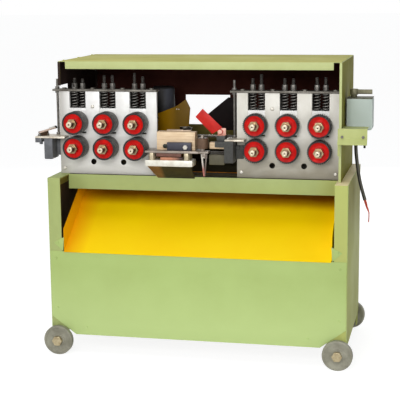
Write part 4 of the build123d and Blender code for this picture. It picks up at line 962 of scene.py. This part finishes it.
for name, size, place, made in (
    ("guide_strap", (0.074, 0.016, 0.005), (-0.6355, -0.1665, 0.9030), strap_pink),
    ("guide_packing", (0.034, 0.012, 0.0165), (-0.6440, -0.1755, 0.8900), packing_dark),
    ("guide_latch", (0.024, 0.013, 0.006), (-0.6190, -0.1500, 0.9110), latch_pale),
    ("guide_latch_end", (0.009, 0.014, 0.010), (-0.6085, -0.1395, 0.9125), black_and_shade),
):
    lean = 0.0 if name == "guide_packing" else strap_lean
    settle(brick(name, size, place, strap_turn, [made], lean=lean), "infeed_guide", replaced=False)

# Die bed: a milled bar on a slanted brown plate and two ribs, with hexagon spacers and a copper-coloured
# wedge on it.
bed_steel = finish(
    "bed_steel", (228, 226, 214), (172, 158, 136), patch=20.0, amount=0.7, rough=(0.35, 0.6), metal=0.35,
    grain=300.0, relief=0.3,
)
gusset_brown = finish(
    "gusset_brown", (120, 80, 42), (62, 40, 22), patch=16.0, amount=0.6, rough=(0.5, 0.7), metal=0.2
)
# The slanted plate turns near black towards its right: painted shadow under the bed.
stain_and_shade(gusset_brown, (30, 23, 12), clear=-0.152, deep=-0.136, spread=0.006, direction=(1.0, 0.0, 0.0))
spacer_steel = finish(
    "spacer_steel", (198, 186, 158), (122, 106, 82), patch=60.0, amount=0.6, rough=(0.3, 0.5), metal=0.7
)
wedge_copper = finish(
    "wedge_copper", (190, 128, 98), (140, 90, 66), patch=40.0, amount=0.6, rough=(0.35, 0.55), metal=0.3
)
stain_and_shade(wedge_copper, (58, 38, 32), clear=-0.10, deep=-0.065, spread=0.01, direction=(1.0, 0.0, 0.0))
bed_bottom = 0.776
bed_top = 0.800
wedge_ends = (-0.147, -0.0535)
bed_cut = -0.168
left_tilt = -0.2


def bed_face(face, place):
    """Bar, support below it, spacers and wedge on top."""
    if place.z < bed_bottom - hair:
        return 0 if face.normal.x < left_tilt and place.x < bed_cut else 1
    if place.z > bed_top + fine_hair:
        return 3 if wedge_ends[0] < place.x < wedge_ends[1] else 2
    return 0


dressed("die_bed", [bed_steel, gusset_brown, spacer_steel, wedge_copper], pick=bed_face, ease=0.0009)

# Die table: the upper plate of the die station, dulled by oil, with its tongue, the side roller's axle
# and the strap's lug.
table_steel = finish(
    "table_steel", (150, 140, 130), (92, 80, 70), patch=26.0, amount=0.7, rough=(0.32, 0.55), metal=0.55
)
dressed("die_table", [table_steel], ease=0.0008)

# Side roller: a browned steel drum beside the feed line that turns freely on an upright axle as the
# strips pass.
drum_brown = finish(
    "drum_brown", (98, 74, 54), (64, 46, 34), patch=34.0, amount=0.7, rough=(0.4, 0.6), metal=0.45,
    grain=400.0,
)
dressed("side_roller", [drum_brown], ease=0.0004)

# Wooden guides: a sawn block of pale softwood and a strip of the same, both with the grain along
# the feed.
pine = finish(
    "pine", (240, 216, 182), (212, 180, 140), patch=10.0, amount=0.5, rough=(0.55, 0.75), grain=200.0,
    relief=0.1,
)
pine_tree = pine.node_tree
grain_place = pine_tree.nodes.new("ShaderNodeTexCoord")
grain_stretch = pine_tree.nodes.new("ShaderNodeMapping")
grain_stretch.inputs["Scale"].default_value = (3.0, 60.0, 60.0)
grain_noise = pine_tree.nodes.new("ShaderNodeTexNoise")
grain_noise.inputs["Scale"].default_value = 4.0
grain_noise.inputs["Detail"].default_value = 5.0
grain_band = pine_tree.nodes.new("ShaderNodeMapRange")
grain_band.inputs["From Min"].default_value = 0.42
grain_band.inputs["From Max"].default_value = 0.62
grain_band.inputs["To Max"].default_value = 0.55
grain_mix = pine_tree.nodes.new("ShaderNodeMixRGB")
grain_mix.inputs["Color2"].default_value = paint(196, 158, 116)
linked(pine_tree, (
    (grain_place.outputs["Object"], grain_stretch.inputs["Vector"]),
    (grain_stretch.outputs["Vector"], grain_noise.inputs["Vector"]),
    (grain_noise.outputs["Fac"], grain_band.inputs["Value"]),
    (grain_band.outputs["Result"], grain_mix.inputs["Fac"]),
    (pine_tree.nodes["wear"].outputs["Colour"], grain_mix.inputs["Color1"]),
    (grain_mix.outputs["Color"], pine_tree.nodes["Principled BSDF"].inputs["Base Color"]),
    (grain_noise.outputs["Fac"], pine_tree.nodes["bump"].inputs["Height"]),
))
dressed("wood_guides", [pine], ease=0.001)

# Clamps: a flat bar with a black bolt and a forked clip on the wooden guide, and a blued steel block
# before it with a knob at one end; a brown packing strip lies under the table.
clamp_blue = finish(
    "clamp_blue", (62, 62, 74), (38, 36, 42), patch=30.0, amount=0.6, rough=(0.3, 0.5), metal=0.3
)
clamp_bar = finish(
    "clamp_bar", (196, 176, 156), (140, 116, 96), patch=30.0, amount=0.6, rough=(0.35, 0.55), metal=0.4
)
wood_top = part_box("wood_guides")[1].z
bar_thick = 0.0063
block_front = -0.2212


def clamp_face(face, place):
    """Blued block with a bright bolt below, flat bar with a black bolt above."""
    if place.z < wood_top - hair:
        return 3 if place.y < block_front else 0
    return 1 if place.z < wood_top + bar_thick else 2


dressed("clamp_set", [clamp_blue, clamp_bar, rod_black, bright_bolt], pick=clamp_face, ease=0.001)
clip_turn = 24.0
clip_upward = 0.8
# The clips' tops take a pale painted highlight, and their other faces black as painted shade.
clip_top_highlight = finish("clip_top_highlight", (206, 196, 170), (140, 126, 100), patch=60.0, rough=(0.4, 0.6), metal=0.2)
for number, (place, size) in enumerate((
    ((-0.060, -0.1545, 0.9200), (0.044, 0.006, 0.010)),
    ((-0.046, -0.1725, 0.9185), (0.040, 0.006, 0.007)),
    ((-0.034, -0.1620, 0.9180), (0.006, 0.022, 0.006)),
)):
    clip = brick(
        f"clamp_clip_{number + 1}", size, place, clip_turn, [black_and_shade, clip_top_highlight],
        pick=lambda face: int(face.normal.z > clip_upward),
    )
    settle(clip, "clamp_set", replaced=False)
packing_brown = finish("packing_brown", (118, 82, 70), (78, 50, 42), patch=30.0, rough=(0.5, 0.7))
packing_size = (0.100, 0.020, 0.0135)
packing_place = (-0.111, -0.223, 0.8209)
packing = brick("packing_strip", packing_size, packing_place, 0.0, [packing_brown])
settle(packing, "die_table", replaced=False)
knob_dark = finish("knob_dark", (22, 34, 30), (12, 18, 16), patch=30.0, rough=(0.25, 0.4))
knob_root, knob_row, knob_level = -0.1200, -0.2105, 0.8530
knob_length = 0.0185
knob_steps = 24
knob_line = (
    (0.0, 0.0), (0.0030, 0.0), (0.0065, -0.002), (0.0082, -0.006), (0.0078, -0.013), (0.0060, -knob_length),
    (0.0, -knob_length),
)
knob_mesh = bmesh.new()
knob_verts = []
for out, along in knob_line:
    knob_verts.append(knob_mesh.verts.new((knob_root - knob_length - along, knob_row, knob_level + out)))
knob_edges = [knob_mesh.edges.new(pair) for pair in zip(knob_verts, knob_verts[1:])]
bmesh.ops.spin(
    knob_mesh,
    geom=knob_verts + knob_edges,
    cent=(0.0, knob_row, knob_level),
    axis=(1.0, 0.0, 0.0),
    dvec=(0.0, 0.0, 0.0),
    angle=2 * math.pi,
    steps=knob_steps,
    use_merge=True,
)
bmesh.ops.remove_doubles(knob_mesh, verts=knob_mesh.verts, dist=weld_reach)
bmesh.ops.recalc_face_normals(knob_mesh, faces=knob_mesh.faces)
knob_made = bpy.data.meshes.new("clamp_knob")
knob_mesh.to_mesh(knob_made)
knob_mesh.free()
knob_made.materials.append(knob_dark)
shade(knob_made, round_crease)
settle(bpy.data.objects.new("clamp_knob", knob_made), "clamp_set", replaced=False)

# Die holder: a grey hammer-finished casting bolted to the outfeed plate, carrying the base block,
# the steel die and the guard's bracket.
hammer_grey = finish(
    "hammer_grey", (72, 72, 69), (52, 52, 50), patch=180.0, amount=0.8, rough=(0.35, 0.5), grain=170.0,
    relief=0.6,
)
base_olive = finish(
    "base_olive", (80, 75, 55), (58, 54, 40), patch=20.0, amount=0.6, rough=(0.45, 0.65), metal=0.2
)
bracket_pink = finish(
    "bracket_pink", (226, 178, 160), (186, 126, 108), patch=40.0, amount=0.6, rough=(0.4, 0.6), metal=0.2
)
base_set_back = 0.0095
base_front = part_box("die_holder")[0].y + base_set_back
base_high = 0.8225
cast_left = 0.109
die_top = 0.8965


def holder_face(face, place):
    """Pink bracket on top, olive base block low at the left, grey casting and die."""
    if place.z > die_top:
        return 2
    if place.x < cast_left + fine_hair and place.z < base_high and place.y > base_front:
        return 1
    return 0


dressed("die_holder", [hammer_grey, base_olive, bracket_pink], pick=holder_face, ease=0.0014)

# Chip guard: a plate in worn red enamel that swings up on a pin above the die, so that the die can
# be reached.
guard_red = finish(
    "guard_red", (200, 32, 20), (156, 18, 14), patch=24.0, amount=0.6, rough=(0.32, 0.5), grain=200.0
)
dressed("chip_guard", [guard_red], ease=0.0006)

# Release strap: a bent V of flat steel that hangs under the tongue, with painted shade on its right leg,
# and rusty at its tip.
strap_steel = finish(
    "strap_steel", (206, 200, 190), (150, 132, 118), patch=36.0, amount=0.7, rough=(0.35, 0.6), metal=0.3
)
strap_low, strap_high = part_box("release_lever")
strap_middle = (strap_low.x + strap_high.x) / 2
shaded_leg_start, shaded_leg_full = strap_middle + 0.0005, strap_middle + 0.0030
stain_and_shade(strap_steel, (158, 84, 72), clear=0.785, deep=0.765, share=0.9, spread=0.01)
# Painted shade on the right leg.
stain_and_shade(
    strap_steel, (84, 70, 62), clear=shaded_leg_start, deep=shaded_leg_full, share=0.9, spread=0.002,
    direction=(1.0, 0.0, 0.0),
)
dressed("release_lever", [strap_steel], ease=0.0005)

# Deflector plates: a yellow sheet before the gearbox, held by bright screws, in a yellow darkened as painted
# shade and darker still towards its right, and a sheet beside the outfeed module painted near black as shade.
deflector_yellow_shaded = finish(
    "deflector_yellow_shaded", (178, 130, 2), (154, 112, 2), patch=8.0, amount=0.6, rough=(0.4, 0.6), shine=0.15
)
# Painted shade, deeper towards the right.
stain_and_shade(
    deflector_yellow_shaded, (98, 73, 2), clear=-0.195, deep=-0.135, share=0.85, spread=0.02,
    direction=(1.0, 0.0, 0.0),
)
shield_shade_black = finish(
    "shield_shade_black", (20, 13, 13), (10, 7, 7), patch=12.0, amount=0.6, rough=(0.6, 0.8), shine=0.08
)
deflector_front = 0.0078


def deflector_face(face, place):
    """Near-black painted-shade sheet at the right, shaded yellow one with bright screws at the left."""
    if place.x > 0.0:
        return 1
    return 2 if place.y < deflector_front else 0


dressed("deflector_plates", [deflector_yellow_shaded, shield_shade_black, bright_bolt], pick=deflector_face, ease=0.0005)

# Switch box: a pale grey moulded housing with a dark lid, on two pads on the hood's side,
# with a tapered gland for its cable.
box_grey = finish(
    "box_grey", (183, 195, 187), (172, 184, 174), patch=6.0, amount=0.5, rough=(0.38, 0.5), grain=500.0
)
lid_dark = finish(
    "lid_dark", (92, 92, 74), (66, 64, 52), patch=14.0, amount=0.6, rough=(0.45, 0.65)
)
lid_thick = 0.0032
box_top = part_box("control_box")[1].z - lid_thick
box_bottom = 0.915
pad_end = 0.5725


def box_face(face, place):
    """Grey housing, dark lid, pads and gland."""
    return 0 if box_bottom - hair < place.z < box_top and place.x > pad_end else 1


dressed("control_box", [box_grey, lid_dark], pick=box_face, ease=0.001)

# Switch lever: a turned hub on top of the switch box with a square side bar, dark olive and rubbed
# by hands.
lever_olive = finish(
    "lever_olive", (116, 112, 86), (78, 72, 54), patch=30.0, amount=0.6, rough=(0.4, 0.6), metal=0.3
)
dressed("switch_lever", [lever_olive], ease=0.001)

# Outlet shelf: a folded channel in the hood's green, bolted round the hood's front edge, with a sloping
# lip and a black stud hanging from its outer corner.
shelf_enamel = finish(
    "shelf_enamel", (182, 189, 122), (164, 170, 100), patch=8.0, amount=0.6, rough=(0.45, 0.6), grain=260.0
)
shelf_low, shelf_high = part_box("box_shelf")
bolt_row = 0.904
bolt_reach = 0.0055
shelf_front = -0.2302


def shelf_face(face, place):
    """Enamel, with bare bolt heads on the front."""
    return int(place.y < shelf_front and abs(place.z - bolt_row) < bolt_reach and face.normal.y < mostly)


dressed("box_shelf", [shelf_enamel, rod_black], pick=shelf_face, ease=0.0006)
stud_size = (0.008, 0.008, 0.012)
stud_place = (shelf_high.x - 0.009, shelf_low.y + 0.006, 0.8705)
stud = brick("shelf_stud", stud_size, stud_place, 0.0, [black_and_shade])
settle(stud, "box_shelf", replaced=False)

# Cable: a round grey rubber lead that hangs from the gland, with painted shade on its left side, and ends
# in three cut cores.
sheath_rubber = finish(
    "sheath_rubber", (92, 90, 80), (58, 56, 50), patch=40.0, amount=0.6, rough=(0.55, 0.75), grain=500.0
)
# Painted shade on the faces that look left.
paint_facing_light(sheath_rubber, (24, 22, 20), direction=(-1.0, -0.2, 0.0), start=-0.1, full=0.5)
core_finishes = [
    finish("core_red", (204, 74, 42), (170, 50, 30), patch=40.0, rough=(0.35, 0.5)),
    finish("core_orange", (224, 148, 96), (196, 116, 70), patch=40.0, rough=(0.35, 0.5)),
    finish("core_brown", (120, 78, 66), (88, 56, 48), patch=40.0, rough=(0.35, 0.5)),
]
cable_thick = 0.014
core_thick = 0.004
cable_x, cable_y = 0.606, -0.055
cable_points = [
    (cable_x, cable_y, 0.890),
    (cable_x, cable_y, 0.843),
    (0.6115, cable_y - 0.0009, 0.789),
    (0.6195, cable_y - 0.0017, 0.733),
    (0.6310, cable_y - 0.0024, 0.680),
    (0.6460, cable_y - 0.0030, 0.632),
]


def lead(name, routes, thick, finishes):
    """Round leads along smooth lines, one for each route."""
    line = bpy.data.curves.new(name, "CURVE")
    line.dimensions = "3D"
    line.bevel_depth = thick / 2
    line.bevel_resolution = 4
    line.resolution_u = 10
    line.use_fill_caps = True
    for number, route in enumerate(routes):
        spline = line.splines.new("NURBS")
        spline.points.add(len(route) - 1)
        for point, place in zip(spline.points, route):
            point.co = (*place, 1.0)
        spline.order_u = 3
        spline.use_endpoint_u = True
        spline.material_index = number
    for each in finishes:
        line.materials.append(each)
    return bpy.data.objects.new(name, line)


cable = settle(lead("power_cable_lead", [cable_points], cable_thick, [sheath_rubber]), "power_cable")
end_before, cable_end = Vector(cable_points[-2]), Vector(cable_points[-1])
ahead = (cable_end - end_before).normalized()
right = ahead.cross(Vector((0, 1, 0))).normalized()
toward = ahead.cross(right).normalized()
core_share = 0.22
core_spread = cable_thick * core_share
core_steps = (
    (-1.0, 0.7, ((0.016, 0.0, 0.0), (0.034, 0.003, 0.001), (0.052, 0.002, 0.0))),
    (1.0, 0.7, ((0.018, 0.0, 0.0), (0.037, -0.0015, 0.0015), (0.056, -0.005, 0.001))),
    (
        0.0,
        -1.0,
        ((0.020, 0.0, 0.0), (0.044, -0.002, -0.0005), (0.068, 0.003, 0.0005), (0.090, 0.012, 0.0)),
    ),
)
core_routes = []
for side, depth, steps in core_steps:
    start = cable_end - right * side * core_spread + toward * depth * core_spread
    core_routes.append([start] + [start + ahead * a - right * b + toward * c for a, b, c in steps])
cores = settle(lead("cable_cores", core_routes, core_thick, core_finishes), "cable_wires")

low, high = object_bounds()
